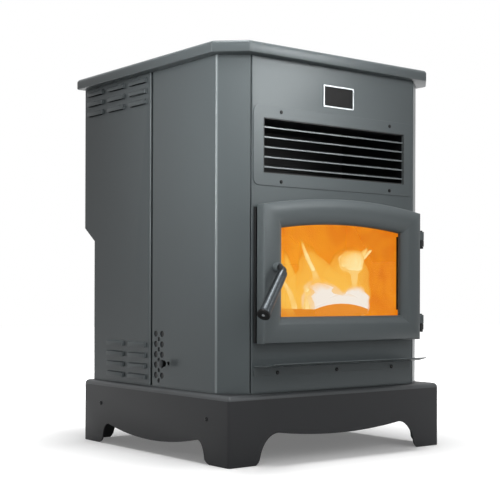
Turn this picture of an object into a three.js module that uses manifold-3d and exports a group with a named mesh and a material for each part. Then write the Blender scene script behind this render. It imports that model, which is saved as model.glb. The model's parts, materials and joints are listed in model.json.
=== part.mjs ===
// A free-standing pellet stove, in millimetres.
// +Z is up, the door faces -Y, and the origin is on the floor under the middle of the stove.
import * as THREE from 'three';
import { mergeVertices } from 'three/addons/utils/BufferGeometryUtils.js';
import ManifoldModule from 'manifold-3d';

const wasm = await ManifoldModule();
wasm.setup();

// ---------------------------------------------------------------- driving dimensions

const gap = 0.3; // running and seating clearance between neighbouring pieces
const sheet = 2; // folded sheet steel
const past = 1; // how far a cutting shape runs past the face that it cuts

const pedestal = {
  halfWidth: 348,
  halfDepth: 330,
  height: 165,
  wall: 4,
  topRadius: 12,
  cornerRadius: 8,
  flangeWidth: 70,
};

// One apron: a foot at each end, a hollow quarter round, a cusp, and a shallow hanging curve.
const frontApron = { cusp: 200, cuspHeight: 72, middleHeight: 58, footHollow: 57, toe: 270 };
const sideApron = { cusp: 205, cuspHeight: 54, middleHeight: 32, footHollow: 29, toe: 256 };
const skirtScrew = { y: 242, z: 106, head: 5.5, proud: 2.4, shank: 2.5 };

const cabinet = {
  halfWidth: 334,
  front: -310,
  rear: 354,
  lowerRear: 302,
  bottom: pedestal.height + gap,
  top: 960,
  chamferX: 64,
  chamferY: 52,
  stepTop: 579,
  stepBottom: 542,
  seamFront: 14,
  seamRear: 22.5,
  flange: 16,
};
const panelBottom = cabinet.bottom + sheet + gap;
const panelTop = cabinet.top - gap;
const frontHalf = cabinet.halfWidth - cabinet.chamferX;

const topPlate = { thickness: 28, side: 24, front: 24, rear: 5, chamferX: 64, chamferY: 62, edge: 9 };
const topSurface = cabinet.top + topPlate.thickness;
const topHollow = { halfWidth: 310, front: -240, rear: 330, skin: 6 };
const fillMouth = { halfWidth: 215, front: 20, rear: 318 };

const louvre = { width: 80, height: 13, proud: 7, shoulder: 2.5, skin: 1.3, pitchAcross: 107, pitchUp: 27.2 };
const upperLouvres = { firstY: 80.5, bottomZ: 883.5, columns: 3, rows: 3 };
const lowerLouvres = { firstY: 80.5, bottomZ: 181, columns: 2, rows: 4 };

const perforation = { nearY: -4.4, stepY: 14, topZ: 299, stepZ: 26, rows: 5, large: 8, small: 5.5 };

const vent = { halfWidth: 234, bottom: 686, top: 816, blades: 5, firstBlade: 700.5, bladePitch: 23.5 };
const ventPlate = { halfWidth: 264, bottom: 656, top: 845, radius: 18 };
const ventScrews = { x: 181, lowZ: 667, highZ: 833, head: 4.5, proud: 2, shank: 2 };
const grille = { depth: 27, bladeFront: 3, bladeRear: 23, bladeRise: 5, bladeThickness: 2 };

const badge = { x: 4.5, z: 888, width: 101, height: 54.5, thickness: 2 };

const mouth = { halfWidth: 248, bottom: 295, top: 592 };
const surround = { halfWidth: 262, bottom: 284.5, top: 604, back: -310.6, front: -317 };

const door = { halfWidth: 260, bottom: 283, corner: 609.5, rise: 22, back: -326, skirt: -320, wall: 4.5 };
const pane = { halfWidth: 198.5, bottom: 345.5, corner: 556, rise: 14, overlap: 8, thickness: 5 };
// The frame's face is an arc that tilts in towards the window and out towards the rim.
const moulding = { crown: -353, radius: 49.7, inward: 50, outward: 25, steps: 7, edge: 2.4 };
const gasket = { halfWidth: 254.5, bottom: 289, top: 600, width: 8.5, radius: 6 };
const retainer = { inner: 199.5, seat: 207.5, outer: 220.5, bottom: 360, top: 548 };

const hinge = { x: 284, y: -327, barrel: 7, pin: 3, bottoms: [307, 525], lugHeight: 15.7, doorHeight: 23 };
const hingeHead = { radius: 5.5, height: 6 };

const latch = { x: -228, z: 462, shaft: 6.9, boss: 11, finger: 19, back: -308, bend: -367 };
const grip = {
  start: new THREE.Vector3(latch.x, -381, 456),
  end: new THREE.Vector3(-316, -418, 356),
  neck: 9,
  spine: 5.5,
  startRadius: 12,
  endRadius: 14.5,
  capRadius: 16,
  capThickness: 7,
};

const lip = { halfRear: 262, halfFront: 252, z: 231, bend: -352, front: -377, rise: 7, flange: 24 };

const firebox = { halfWidth: 252, rear: -70, bottom: 291, top: 640, wall: 4 };
const burnPot = { x: 26, halfTop: 88, front: -300, rear: -142, top: 362, base: 334.3, wall: 5 };
const shelf = { halfWidth: 110, front: -298, z: 330, halfSlot: 48, slotFront: -238, slotRear: -160 };
const bowl = { rake: 14, narrow: 20 }; // how much the bowl draws in towards its base
const brow = { rise: 14, halfThickness: 3, steps: 8 };
const drain = { y: -197, radius: 5, pitch: 30 };
const ashPan = { halfWidth: 160, front: -262, rear: -122, top: 322 };
const stand = { halfWidth: 200, front: -290, rear: -75 };
const exchanger = { halfWidth: 200, front: -270, rear: -95 };
const fin = { count: 9, pitch: 40, top: 674, halfThickness: 1.5, setback: 8 };
const igniter = { x: 25, z: 350, radius: 5, front: -140, flange: 13 };
const duct = { halfWidth: 236, front: -284, rear: -72, top: 824 };
const riser = { x0: 95, x1: 185, y1: -8, z0: 296, z1: 720, crossing: 650, inletTop: 362 };

const hopper = { halfWidth: 225, front: 0, rear: 335, shoulder: 760, skin: 1.5 };
const hopperNeck = { halfWidth: 33, front: 20, rear: 90, top: 560, bottom: 430 };
const chute = { halfWidth: 36, rear: 5, bottom: 474, top: 560, wall: 3 };
const feedSlot = { halfWidth: 22, front: 32, rear: 78, bottom: 455, top: 540 };
const gearmotor = { halfWidth: 32, depth: 50, can: 27, canEnd: 112 };

const auger = { lowY: 160, lowZ: 350, length: 250, tube: 32, bore: 29, flight: 26.5, shaft: 8, pitch: 45 };

const exhaust = { x: -142.5, halfWidth: 32.5, y: 120, z: 345, radius: 70, eye: 35, rear: 285 };
const exhaustDuct = { x0: -107, x1: -45, rear: 160, bottom: 305, top: 385 };
const flue = { z: 310, radius: 38, end: 352, flange: 52, wall: 2 };
const convection = { x: 145, halfWidth: 45, y: 150, z: 290, radius: 75, eye: 42, front: -7.7 };
const intake = { x: 59, z: 227, radius: 24, wall: 2, end: 328, riserY: -95 };
const airBox = { x0: 22, x1: 105, y0: -121, y1: -30, z0: 200, z1: 254 };
const damper = { y: -61, z: 227, rod: 4, rodEnd: -350, knobEnd: -357.9, knob: 9.5, knobDepth: 12, disc: 20 };

const lid = { halfWidth: 232, front: 8, rear: 336, height: 12.7, skin: 2.5 };
const lidHinge = { x: 150, y: 343, z: 993.5, barrel: 5, pin: 2.5, knuckle: 11.7, lug: 18, reach: 30 };
const lidHandle = { halfWidth: 58, front: 32, rear: 44, foot: 10, clearance: 11, height: 17 };

const controls = { nearY: 95, farY: 265, bottom: 690, top: 800, thickness: 4, radius: 8 };
const display = { nearY: 115, farY: 245, bottom: 752, top: 786, depth: 1 };
const button = { z: 720, radius: 9, proud: 3, depth: 9 };
const buttonPlaces = { power: 130, heat_up: 180, heat_down: 230 };
const inlet = { x0: 185, x1: 235, y0: 285, y1: 304, z0: 196, z1: 224, wall: 5 };

// ---------------------------------------------------------------- finishes

const finish = (color, roughness, metalness) => () =>
  new THREE.MeshStandardMaterial({ color, roughness, metalness });
const charcoalPaint = finish(0x585c5e, 0.5, 0.35);
const darkPaint = finish(0x3b3c3d, 0.55, 0.3);
const castPaint = finish(0x636a6c, 0.55, 0.35);
const blackPaint = finish(0x17181a, 0.6, 0.3);
const bareSteel = finish(0x8d9092, 0.4, 0.9);
const galvanised = finish(0x9ba0a3, 0.5, 0.8);
const firebrick = finish(0x4a3c34, 0.9, 0.1);
const ceramicGlass = () =>
  new THREE.MeshStandardMaterial({ color: 0x2a1a10, roughness: 0.1, transparent: true, opacity: 0.35 });
const rope = finish(0x1f1f1f, 1, 0);
const blackPlastic = finish(0x141414, 0.45, 0);
const silverTrim = finish(0xb9bdbf, 0.3, 0.9);

// ---------------------------------------------------------------- solids

function solid(geometry) {
  const bare = geometry.index ? geometry.toNonIndexed() : geometry.clone();
  bare.deleteAttribute('normal');
  bare.deleteAttribute('uv');
  const merged = mergeVertices(bare, 1e-4);
  const vertProperties = new Float32Array(merged.attributes.position.array);
  const triVerts = new Uint32Array(merged.index.array);
  return new wasm.Manifold(new wasm.Mesh({ numProp: 3, vertProperties, triVerts }));
}

function surface(shape) {
  const mesh = shape.getMesh();
  const geometry = new THREE.BufferGeometry();
  geometry.setAttribute('position', new THREE.BufferAttribute(mesh.vertProperties, 3));
  geometry.setIndex(new THREE.BufferAttribute(mesh.triVerts, 1));
  geometry.computeVertexNormals();
  return geometry;
}

const joined = (...shapes) => shapes.reduce((whole, shape) => whole.add(shape));
const cut = (shape, ...tools) => tools.reduce((rest, tool) => rest.subtract(tool), shape);

// The same solid on the other side of the stove, its triangles turned right side out again.
function mirrored(shape) {
  const geometry = surface(shape).toNonIndexed();
  const points = geometry.attributes.position;
  const swapped = new Float32Array(points.count * 3);
  for (let corner = 0; corner < points.count; corner += 1) {
    const from = corner - (corner % 3) + (2 - (corner % 3));
    swapped[corner * 3] = -points.getX(from);
    swapped[corner * 3 + 1] = points.getY(from);
    swapped[corner * 3 + 2] = points.getZ(from);
  }
  const flipped = new THREE.BufferGeometry();
  flipped.setAttribute('position', new THREE.BufferAttribute(swapped, 3));
  return solid(flipped);
}

function block(x0, x1, y0, y1, z0, z1) {
  const geometry = new THREE.BoxGeometry(x1 - x0, y1 - y0, z1 - z0);
  return solid(geometry.translate((x0 + x1) / 2, (y0 + y1) / 2, (z0 + z1) / 2));
}

function rod(from, to, radius, sides = 20, endRadius = radius) {
  const along = new THREE.Vector3().subVectors(to, from);
  const geometry = new THREE.CylinderGeometry(endRadius, radius, along.length(), sides);
  const upright = new THREE.Vector3(0, 1, 0);
  geometry.applyQuaternion(new THREE.Quaternion().setFromUnitVectors(upright, along.clone().normalize()));
  const middle = new THREE.Vector3().addVectors(from, to).multiplyScalar(0.5);
  return solid(geometry.translate(middle.x, middle.y, middle.z));
}

const point = (x, y, z) => new THREE.Vector3(x, y, z);
const rodX = (x0, x1, y, z, radius, sides) => rod(point(x0, y, z), point(x1, y, z), radius, sides);
const rodY = (x, y0, y1, z, radius, sides) => rod(point(x, y0, z), point(x, y1, z), radius, sides);
const rodZ = (x, y, z0, z1, radius, sides) => rod(point(x, y, z0), point(x, y, z1), radius, sides);

// An outline in the plane square to one axis, extruded along that axis.
function prism(outline, axis, low, high, curveSegments = 6) {
  const shape = outline instanceof THREE.Shape ? outline : new THREE.Shape(outline);
  const options = { depth: high - low, bevelEnabled: false, curveSegments };
  const geometry = new THREE.ExtrudeGeometry(shape, options);
  if (axis === 'z') {
    return solid(geometry.translate(0, 0, low));
  }
  const frame = new THREE.Matrix4();
  if (axis === 'x') {
    frame.makeBasis(point(0, 1, 0), point(0, 0, 1), point(1, 0, 0)).setPosition(low, 0, 0);
  } else {
    frame.makeBasis(point(1, 0, 0), point(0, 0, 1), point(0, -1, 0)).setPosition(0, high, 0);
  }
  return solid(geometry.applyMatrix4(frame));
}

const flat = (u, v) => new THREE.Vector2(u, v);

function roundedRectangle(u0, u1, v0, v1, radius) {
  const shape = new THREE.Shape();
  shape.moveTo(u0 + radius, v0);
  shape.absarc(u1 - radius, v0 + radius, radius, -Math.PI / 2, 0, false);
  shape.absarc(u1 - radius, v1 - radius, radius, 0, Math.PI / 2, false);
  shape.absarc(u0 + radius, v1 - radius, radius, Math.PI / 2, Math.PI, false);
  shape.absarc(u0 + radius, v0 + radius, radius, Math.PI, Math.PI * 1.5, false);
  return shape;
}

// A folded strip: the line is its outer face, and the sheet lies on the line's left.
function strip(line, thickness) {
  const inner = line.map((corner, index) => {
    const before = line[index - 1] ?? corner;
    const after = line[index + 1] ?? corner;
    const sides = [];
    if (index > 0) {
      sides.push(flat(-(corner.y - before.y), corner.x - before.x).normalize());
    }
    if (index < line.length - 1) {
      sides.push(flat(-(after.y - corner.y), after.x - corner.x).normalize());
    }
    const bisector = sides.length === 2 ? sides[0].clone().add(sides[1]) : sides[0].clone();
    const reach = sides.length === 2 ? thickness / (1 + sides[0].dot(sides[1])) : thickness;
    return corner.clone().add(bisector.multiplyScalar(reach));
  });
  return [...line, ...inner.reverse()];
}

// Triangles as a solid, turned right side out whichever way their outline was drawn.
function wrapped(triangles) {
  const volume = triangles.reduce((sum, [a, b, c]) => sum + a.dot(b.clone().cross(c)), 0);
  const corners = triangles.flatMap(([a, b, c]) => (volume > 0 ? [a, b, c] : [a, c, b]));
  return solid(new THREE.BufferGeometry().setFromPoints(corners));
}

// Closed loops of equally many points, each joined to the next and the last to the first.
function loopedRing(loops) {
  const count = loops[0].length;
  const triangles = [];
  loops.forEach((loop, row) => {
    const next = loops[(row + 1) % loops.length];
    for (let index = 0; index < count; index += 1) {
      const following = (index + 1) % count;
      triangles.push([loop[index], next[index], next[following]]);
      triangles.push([loop[index], next[following], loop[following]]);
    }
  });
  return wrapped(triangles);
}

// Equal cross-sections joined in turn and closed at both ends.
function sweep(sections) {
  const triangles = [];
  const sides = sections[0].length;
  for (let row = 0; row < sections.length - 1; row += 1) {
    for (let side = 0; side < sides; side += 1) {
      const next = (side + 1) % sides;
      triangles.push([sections[row][side], sections[row + 1][next], sections[row][next]]);
      triangles.push([sections[row][side], sections[row + 1][side], sections[row + 1][next]]);
    }
  }
  const first = sections[0];
  const last = sections[sections.length - 1];
  for (let side = 1; side < sides - 1; side += 1) {
    triangles.push([first[0], first[side], first[side + 1]], [last[0], last[side + 1], last[side]]);
  }
  return wrapped(triangles);
}

// A straight-sided funnel between two level rectangles.
function frustum(low, high) {
  const corners = ({ x, y0, y1, z }) =>
    [point(-x, y0, z), point(x, y0, z), point(x, y1, z), point(-x, y1, z)];
  return sweep([corners(low), corners(high)]);
}

function part(parent, name, shape, material) {
  const mesh = new THREE.Mesh(surface(shape), material());
  mesh.name = name;
  parent.add(mesh);
  return mesh;
}

// ---------------------------------------------------------------- pedestal

// The opening under one apron, symmetrical about the middle of its wall.
function apronOpening({ cusp, cuspHeight, middleHeight, footHollow, toe }) {
  const right = [flat(toe, -1), flat(toe - 6, 6)];
  const hollowSteps = 5;
  for (let step = 0; step <= hollowSteps; step += 1) {
    const angle = (Math.PI / 2) * (0.16 + (0.84 * step) / hollowSteps);
    right.push(flat(cusp + footHollow * Math.cos(angle), cuspHeight * Math.sin(angle)));
  }
  const hangSteps = 4;
  for (let step = 1; step < hangSteps; step += 1) {
    const along = 1 - step / hangSteps;
    right.push(flat(cusp * along, middleHeight + (cuspHeight - middleHeight) * along * along));
  }
  const left = right.map((corner) => flat(-corner.x, corner.y)).reverse();
  return [...right, flat(0, middleHeight), ...left];
}

function roundedTopBox({ halfWidth, halfDepth, height, cornerRadius, topRadius }) {
  const x = halfWidth - topRadius;
  const y = halfDepth - topRadius;
  const outline = roundedRectangle(-x, x, -y, y, Math.max(cornerRadius - topRadius, 0.5));
  const geometry = new THREE.ExtrudeGeometry(outline, {
    depth: height,
    bevelThickness: topRadius,
    bevelSize: topRadius,
    bevelSegments: 3,
    curveSegments: 2,
  });
  geometry.translate(0, 0, -topRadius);
  return cut(solid(geometry), block(-halfWidth - past, halfWidth + past, -halfDepth - past, halfDepth + past,
    -2 * topRadius - past, 0));
}

function buildPedestal(stove) {
  const { halfWidth, halfDepth, height, wall, flangeWidth } = pedestal;
  const innerX = halfWidth - wall;
  const innerY = halfDepth - wall;
  const openX = halfWidth - flangeWidth;
  const openY = halfDepth - flangeWidth;
  const shell = cut(
    roundedTopBox(pedestal),
    block(-innerX, innerX, -innerY, innerY, -past, height - wall),
    block(-openX, openX, -openY, openY, height - 2 * wall, height + past),
    prism(apronOpening(frontApron), 'y', -halfDepth - past, halfDepth + past),
    prism(apronOpening(sideApron), 'x', -halfWidth - past, halfWidth + past),
  );
  const { y, z, head, proud, shank } = skirtScrew;
  const places = [[-1, -y, 'left_front'], [-1, y, 'left_rear'], [1, -y, 'right_front'], [1, y, 'right_rear']];
  const bores = places.map(([side, at]) =>
    rodX(side * (innerX - past), side * (halfWidth + past), at, z, shank + gap, 10));
  part(stove, 'pedestal_skirt', cut(shell, ...bores), darkPaint);
  places.forEach(([side, at, where]) => {
    const cap = rodX(side * (halfWidth + gap), side * (halfWidth + gap + proud), at, z, head, 10);
    const thread = rodX(side * (innerX - wall), side * (halfWidth + gap + 1), at, z, shank, 6);
    part(stove, `pedestal_screw_${where}`, joined(cap, thread), blackPaint);
  });
}

// ---------------------------------------------------------------- cabinet

function floorOutline() {
  const { halfWidth, front, lowerRear, chamferY } = cabinet;
  const right = [flat(frontHalf, front), flat(halfWidth, front + chamferY), flat(halfWidth, lowerRear)];
  const left = right.map((corner) => flat(-corner.x, corner.y)).reverse();
  return [...right, ...left];
}

function leftFrontSide() {
  const { halfWidth, front, chamferY, seamFront, flange } = cabinet;
  const folded = prism(strip([flat(-halfWidth + flange, seamFront), flat(-halfWidth, seamFront),
    flat(-halfWidth, front + chamferY), flat(-frontHalf, front), flat(-frontHalf, front + flange)], sheet),
  'z', panelBottom, panelTop);
  const holes = [];
  for (let row = 0; row < perforation.rows; row += 1) {
    const z = perforation.topZ - row * perforation.stepZ;
    const y = perforation.nearY;
    const bore = (along, height, radius, sides) =>
      rodX(-halfWidth - past, -halfWidth + sheet + past, along, height, radius, sides);
    holes.push(bore(y, z, perforation.large, 8), bore(y - 2 * perforation.stepY, z, perforation.large, 8));
    holes.push(bore(y - perforation.stepY, z - perforation.stepZ / 2, perforation.small, 6));
  }
  return cut(folded, ...holes);
}

function withLouvres(panel, { firstY, bottomZ, columns, rows }) {
  const { width, height, proud, shoulder, skin, pitchAcross, pitchUp } = louvre;
  const x = -cabinet.halfWidth;
  let pressed = panel;
  for (let column = 0; column < columns; column += 1) {
    for (let row = 0; row < rows; row += 1) {
      const y = firstY + column * pitchAcross;
      const z = bottomZ + row * pitchUp;
      const slotTop = z + height - 1.5 * skin;
      const hood = prism([flat(x + 1, z), flat(x + 1, z + height), flat(x, z + height),
        flat(x - proud, z + height - shoulder), flat(x - proud, z)], 'y', y - width / 2, y + width / 2);
      const hollow = prism([flat(x + sheet + past, z - past), flat(x + sheet + past, slotTop),
        flat(x, slotTop), flat(x - proud + skin, slotTop - shoulder), flat(x - proud + skin, z - past)],
      'y', y - width / 2 + skin, y + width / 2 - skin);
      pressed = cut(joined(pressed, hood), hollow);
    }
  }
  return pressed;
}

function leftRearSide() {
  const { halfWidth, rear, lowerRear, stepTop, stepBottom, seamRear, flange } = cabinet;
  const outline = [flat(seamRear, panelBottom), flat(lowerRear, panelBottom), flat(lowerRear, stepBottom),
    flat(rear, stepTop), flat(rear, panelTop), flat(seamRear, panelTop)];
  const plate = prism(outline, 'x', -halfWidth, -halfWidth + sheet);
  const fold = block(-halfWidth, -halfWidth + flange, seamRear, seamRear + sheet, panelBottom, panelTop);
  return withLouvres(withLouvres(joined(plate, fold), upperLouvres), lowerLouvres);
}

function rearSheet() {
  const { halfWidth, rear, lowerRear, stepTop, stepBottom } = cabinet;
  const x = halfWidth - sheet - gap;
  const folded = prism(strip([flat(lowerRear, panelBottom), flat(lowerRear, stepBottom), flat(rear, stepTop),
    flat(rear, panelTop)], sheet), 'x', -x, x);
  const y0 = lowerRear - sheet - past;
  const y1 = lowerRear + past;
  const clearance = 1.5;
  return cut(
    folded,
    rodY(exhaust.x, y0, y1, flue.z, flue.radius + clearance, 24),
    rodY(intake.x, y0, y1, intake.z, intake.radius + clearance, 20),
    block(inlet.x0 - gap, inlet.x1 + gap, y0, y1, inlet.z0 - gap, inlet.z1 + gap),
  );
}

function topCover() {
  const { side, front, rear, chamferX, chamferY, edge } = topPlate;
  const x = cabinet.halfWidth + side;
  const y0 = cabinet.front - front;
  const y1 = cabinet.rear + rear;
  const lower = cabinet.top;
  const upper = topSurface;
  const chamferInset = 0.42; // how far a chamfer's end moves per unit of inset
  const level = (inset, z) => {
    const cornerInset = inset * chamferInset;
    return [[-x + inset, y1 - inset], [-x + inset, y0 + chamferY + cornerInset],
      [-x + chamferX + cornerInset, y0 + inset], [x - chamferX - cornerInset, y0 + inset],
      [x - inset, y0 + chamferY + cornerInset], [x - inset, y1 - inset]].map(([u, v]) => point(u, v, z));
  };
  const lowerEdge = 3;
  const rings = [level(lowerEdge, lower), level(0, lower + lowerEdge)];
  const roundSteps = 3;
  for (let step = 0; step <= roundSteps; step += 1) {
    const angle = (Math.PI / 2) * (step / roundSteps);
    rings.push(level(edge * (1 - Math.cos(angle)), upper - edge + edge * Math.sin(angle)));
  }
  const borderShare = 0.55;
  const inner = (z) => level(0, z).map((corner) => corner.lerp(point(0, (y0 + y1) / 2, z), borderShare));
  const bordered = loopedRing([...rings, inner(upper), inner(lower)]);
  const filled = joined(bordered, block(-200, 200, -180, 200, lower, upper));
  const { halfWidth, skin } = topHollow;
  const underside = block(-halfWidth, halfWidth, topHollow.front, topHollow.rear, lower - past, upper - skin);
  const throatX = fillMouth.halfWidth;
  const throat = block(-throatX, throatX, fillMouth.front, fillMouth.rear, lower - past, upper + past);
  const { barrel, knuckle, lug, pin } = lidHinge;
  const centre = knuckle + gap + lug / 2;
  const lugs = [-1, 1].flatMap((half) => [-centre, centre].map((offset) => {
    const at = half * lidHinge.x + offset;
    return joined(
      block(at - lug / 2, at + lug / 2, lidHinge.y - barrel, lidHinge.y + barrel, upper - 2, lidHinge.z),
      rodX(at - lug / 2, at + lug / 2, lidHinge.y, lidHinge.z, barrel, 12),
    );
  }));
  const pinBore = rodX(-halfWidth, halfWidth, lidHinge.y, lidHinge.z, pin + gap, 10);
  return cut(joined(filled, ...lugs), underside, throat, pinBore);
}

function buildCabinet(stove) {
  const { halfWidth, front, bottom } = cabinet;
  part(stove, 'floor_pan', prism(floorOutline(), 'z', bottom, bottom + sheet), charcoalPaint);

  const frontSide = leftFrontSide();
  const { y: damperY, z: damperZ, rod: damperRod } = damper;
  const damperBore = rodX(-halfWidth - past, -halfWidth + sheet + past, damperY, damperZ, damperRod + 1, 10);
  part(stove, 'left_front_side_panel', cut(frontSide, damperBore), charcoalPaint);
  part(stove, 'right_front_side_panel', mirrored(frontSide), charcoalPaint);

  const rearSide = leftRearSide();
  const buttonBores = Object.values(buttonPlaces).map((y) =>
    rodX(halfWidth - sheet - past, halfWidth + past, y, button.z, button.radius + 2, 12));
  part(stove, 'left_rear_side_panel', rearSide, charcoalPaint);
  part(stove, 'right_rear_side_panel', cut(mirrored(rearSide), ...buttonBores), charcoalPaint);
  part(stove, 'rear_panel', rearSheet(), charcoalPaint);

  const x = frontHalf - sheet - gap;
  const returned = front + cabinet.flange;
  const y0 = front - past;
  const y1 = front + sheet + past;
  const frontPanel = cut(
    prism(strip([flat(-x, returned), flat(-x, front), flat(x, front), flat(x, returned)], sheet), 'z',
      panelBottom, panelTop),
    block(-mouth.halfWidth, mouth.halfWidth, y0, y1, mouth.bottom, mouth.top),
    block(-vent.halfWidth, vent.halfWidth, y0, y1, vent.bottom, vent.top),
  );
  part(stove, 'front_panel', frontPanel, charcoalPaint);
  part(stove, 'top_plate', topCover(), charcoalPaint);
}

// ---------------------------------------------------------------- warm-air vent and badge

function buildVent(stove) {
  const back = cabinet.front - gap;
  const face = back - sheet;
  const { halfWidth, bottom, top } = vent;
  const { x: screwX, head, proud, shank } = ventScrews;
  const screwPlaces = [['low_left', -1, ventScrews.lowZ], ['low_right', 1, ventScrews.lowZ],
    ['high_left', -1, ventScrews.highZ], ['high_right', 1, ventScrews.highZ]];
  const outline = roundedRectangle(-ventPlate.halfWidth, ventPlate.halfWidth, ventPlate.bottom, ventPlate.top,
    ventPlate.radius);
  const plate = cut(
    prism(outline, 'y', face, back, 4),
    block(-halfWidth, halfWidth, face - past, back + past, bottom, top),
    ...screwPlaces.map(([, side, z]) => rodY(side * screwX, face - past, back + past, z, shank + gap, 10)),
  );
  part(stove, 'vent_cover_plate', plate, charcoalPaint);
  screwPlaces.forEach(([where, side, z]) => {
    const cap = rodY(side * screwX, face - gap - proud, face - gap, z, head, 10);
    const thread = rodY(side * screwX, face - gap - proud / 2, back, z, shank, 6);
    part(stove, `vent_screw_${where}`, joined(cap, thread), blackPaint);
  });

  const outer = halfWidth - gap;
  const inner = outer - sheet;
  const y0 = face + 0.5;
  const y1 = y0 + grille.depth;
  const frame = cut(
    block(-outer, outer, y0, y1, bottom + gap, top - gap),
    block(-inner, inner, y0 - past, y1 + past, bottom + gap + sheet, top - gap - sheet),
  );
  const { bladeFront, bladeRear, bladeRise, bladeThickness } = grille;
  const blades = [];
  for (let index = 0; index < vent.blades; index += 1) {
    const z = vent.firstBlade + index * vent.bladePitch;
    blades.push(prism([flat(y0 + bladeFront, z), flat(y0 + bladeFront, z - bladeThickness),
      flat(y0 + bladeRear, z + bladeRise), flat(y0 + bladeRear, z + bladeRise + bladeThickness)],
    'x', -inner - 1, inner + 1));
  }
  part(stove, 'vent_grille', joined(frame, ...blades), blackPaint);

  const plateOutline = roundedRectangle(badge.x - badge.width / 2, badge.x + badge.width / 2,
    badge.z - badge.height / 2, badge.z + badge.height / 2, 3);
  part(stove, 'badge_plate', prism(plateOutline, 'y', back - badge.thickness, back, 3), silverTrim);
}

// ---------------------------------------------------------------- fire door

// An upright with an arched head, at one depth, as a closed loop of points.
function archedLoop({ halfWidth, bottom, corner, rise }, y) {
  const loop = [point(-halfWidth, y, bottom), point(halfWidth, y, bottom)];
  const steps = 12;
  for (let step = 0; step <= steps; step += 1) {
    const along = 1 - (2 * step) / steps;
    loop.push(point(halfWidth * along, y, corner + rise * (1 - along * along)));
  }
  return loop;
}

function between(inner, outer, share) {
  const blend = (key) => inner[key] + (outer[key] - inner[key]) * share;
  return {
    halfWidth: blend('halfWidth'),
    bottom: blend('bottom'),
    corner: blend('corner'),
    rise: blend('rise'),
  };
}

function doorCasting() {
  const { crown, radius, inward, outward, steps, edge } = moulding;
  const across = door.halfWidth - pane.halfWidth;
  const tilt = (step) => ((outward + inward) * step / steps - inward) * Math.PI / 180;
  const depth = (step) => crown + radius * (1 - Math.cos(tilt(step)));
  const loops = [archedLoop(pane, door.back)];
  for (let step = 0; step <= steps; step += 1) {
    const share = radius * (Math.sin(tilt(step)) - Math.sin(tilt(0))) / across;
    loops.push(archedLoop(between(pane, door, share), depth(step)));
  }
  const inside = between(pane, door, 1 - door.wall / across);
  loops.push(archedLoop(door, depth(steps) + 2 * edge), archedLoop(door, door.skirt),
    archedLoop(inside, door.skirt), archedLoop(inside, door.back));
  const boss = rodY(latch.x, crown - 5, crown + 13, latch.z, latch.boss, 16);
  const { x, y, barrel, pin, lugHeight, doorHeight } = hinge;
  const knuckles = hinge.bottoms.map((bottom) => {
    const low = bottom + lugHeight + gap;
    return joined(block(x - 28, x, y - 6.5, door.back, low, low + doorHeight),
      rodZ(x, y, low, low + doorHeight, barrel, 14));
  });
  const pinBores = hinge.bottoms.map((bottom) => rodZ(x, y, bottom, bottom + 60, pin + gap, 12));
  const shaftBore = rodY(latch.x, latch.bend, door.back + 6, latch.z, latch.shaft + gap, 16);
  return cut(joined(loopedRing(loops), boss, ...knuckles), shaftBore, ...pinBores);
}

function buildSurround(stove) {
  const { halfWidth, bottom, top, back, front } = surround;
  const ring = cut(
    block(-halfWidth, halfWidth, front, back, bottom, top),
    block(-mouth.halfWidth, mouth.halfWidth, front - past, back + past, mouth.bottom, mouth.top),
  );
  const { x, y, barrel, pin, lugHeight } = hinge;
  const lugs = hinge.bottoms.map((low) => joined(
    block(halfWidth - 1, x, y + 5, back, low, low + lugHeight),
    rodZ(x, y, low, low + lugHeight, barrel, 14),
  ));
  const bores = hinge.bottoms.map((low) => rodZ(x, y, low - past, low + lugHeight + past, pin + gap, 12));
  part(stove, 'door_surround', cut(joined(ring, ...lugs), ...bores), blackPaint);
}

function buildDoor(stove) {
  const fireDoor = new THREE.Group();
  stove.add(fireDoor);
  part(fireDoor, 'door_frame', doorCasting(), castPaint);
  const seat = door.back + gap;
  const glassBack = seat + pane.thickness;
  const glassLoop = archedLoop({
    halfWidth: pane.halfWidth + pane.overlap,
    bottom: pane.bottom - pane.overlap,
    corner: pane.corner + pane.overlap,
    rise: pane.rise,
  }, 0);
  const glassOutline = glassLoop.map((corner) => flat(corner.x, corner.z));
  part(fireDoor, 'door_glass', prism(glassOutline, 'y', seat, glassBack), ceramicGlass);

  const { halfWidth, bottom, top, width, radius } = gasket;
  const back = surround.front - gap;
  const cord = cut(
    prism(roundedRectangle(-halfWidth, halfWidth, bottom, top, radius), 'y', seat, back, 3),
    block(-halfWidth + width, halfWidth - width, seat - past, back + past, bottom + width, top - width),
  );
  part(fireDoor, 'door_gasket', cord, rope);

  const clipFront = glassBack + gap;
  const retainerRight = joined(
    block(retainer.seat, retainer.outer, seat, clipFront + sheet, retainer.bottom, retainer.top),
    block(retainer.inner, retainer.seat + 4, clipFront, clipFront + sheet, retainer.bottom, retainer.top),
  );
  part(fireDoor, 'glass_retainer_left', mirrored(retainerRight), blackPaint);
  part(fireDoor, 'glass_retainer_right', retainerRight, blackPaint);

  [['lower', hinge.bottoms[0]], ['upper', hinge.bottoms[1]]].forEach(([where, low]) => {
    const head = rodZ(hinge.x, hinge.y, low - hingeHead.height, low - gap, hingeHead.radius, 6);
    const high = low + hinge.lugHeight + hinge.doorHeight + 3;
    const shank = rodZ(hinge.x, hinge.y, low - 1, high, hinge.pin, 12);
    part(fireDoor, `hinge_pin_${where}`, joined(head, shank), blackPaint);
  });
  buildHandle(fireDoor);
}

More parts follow.
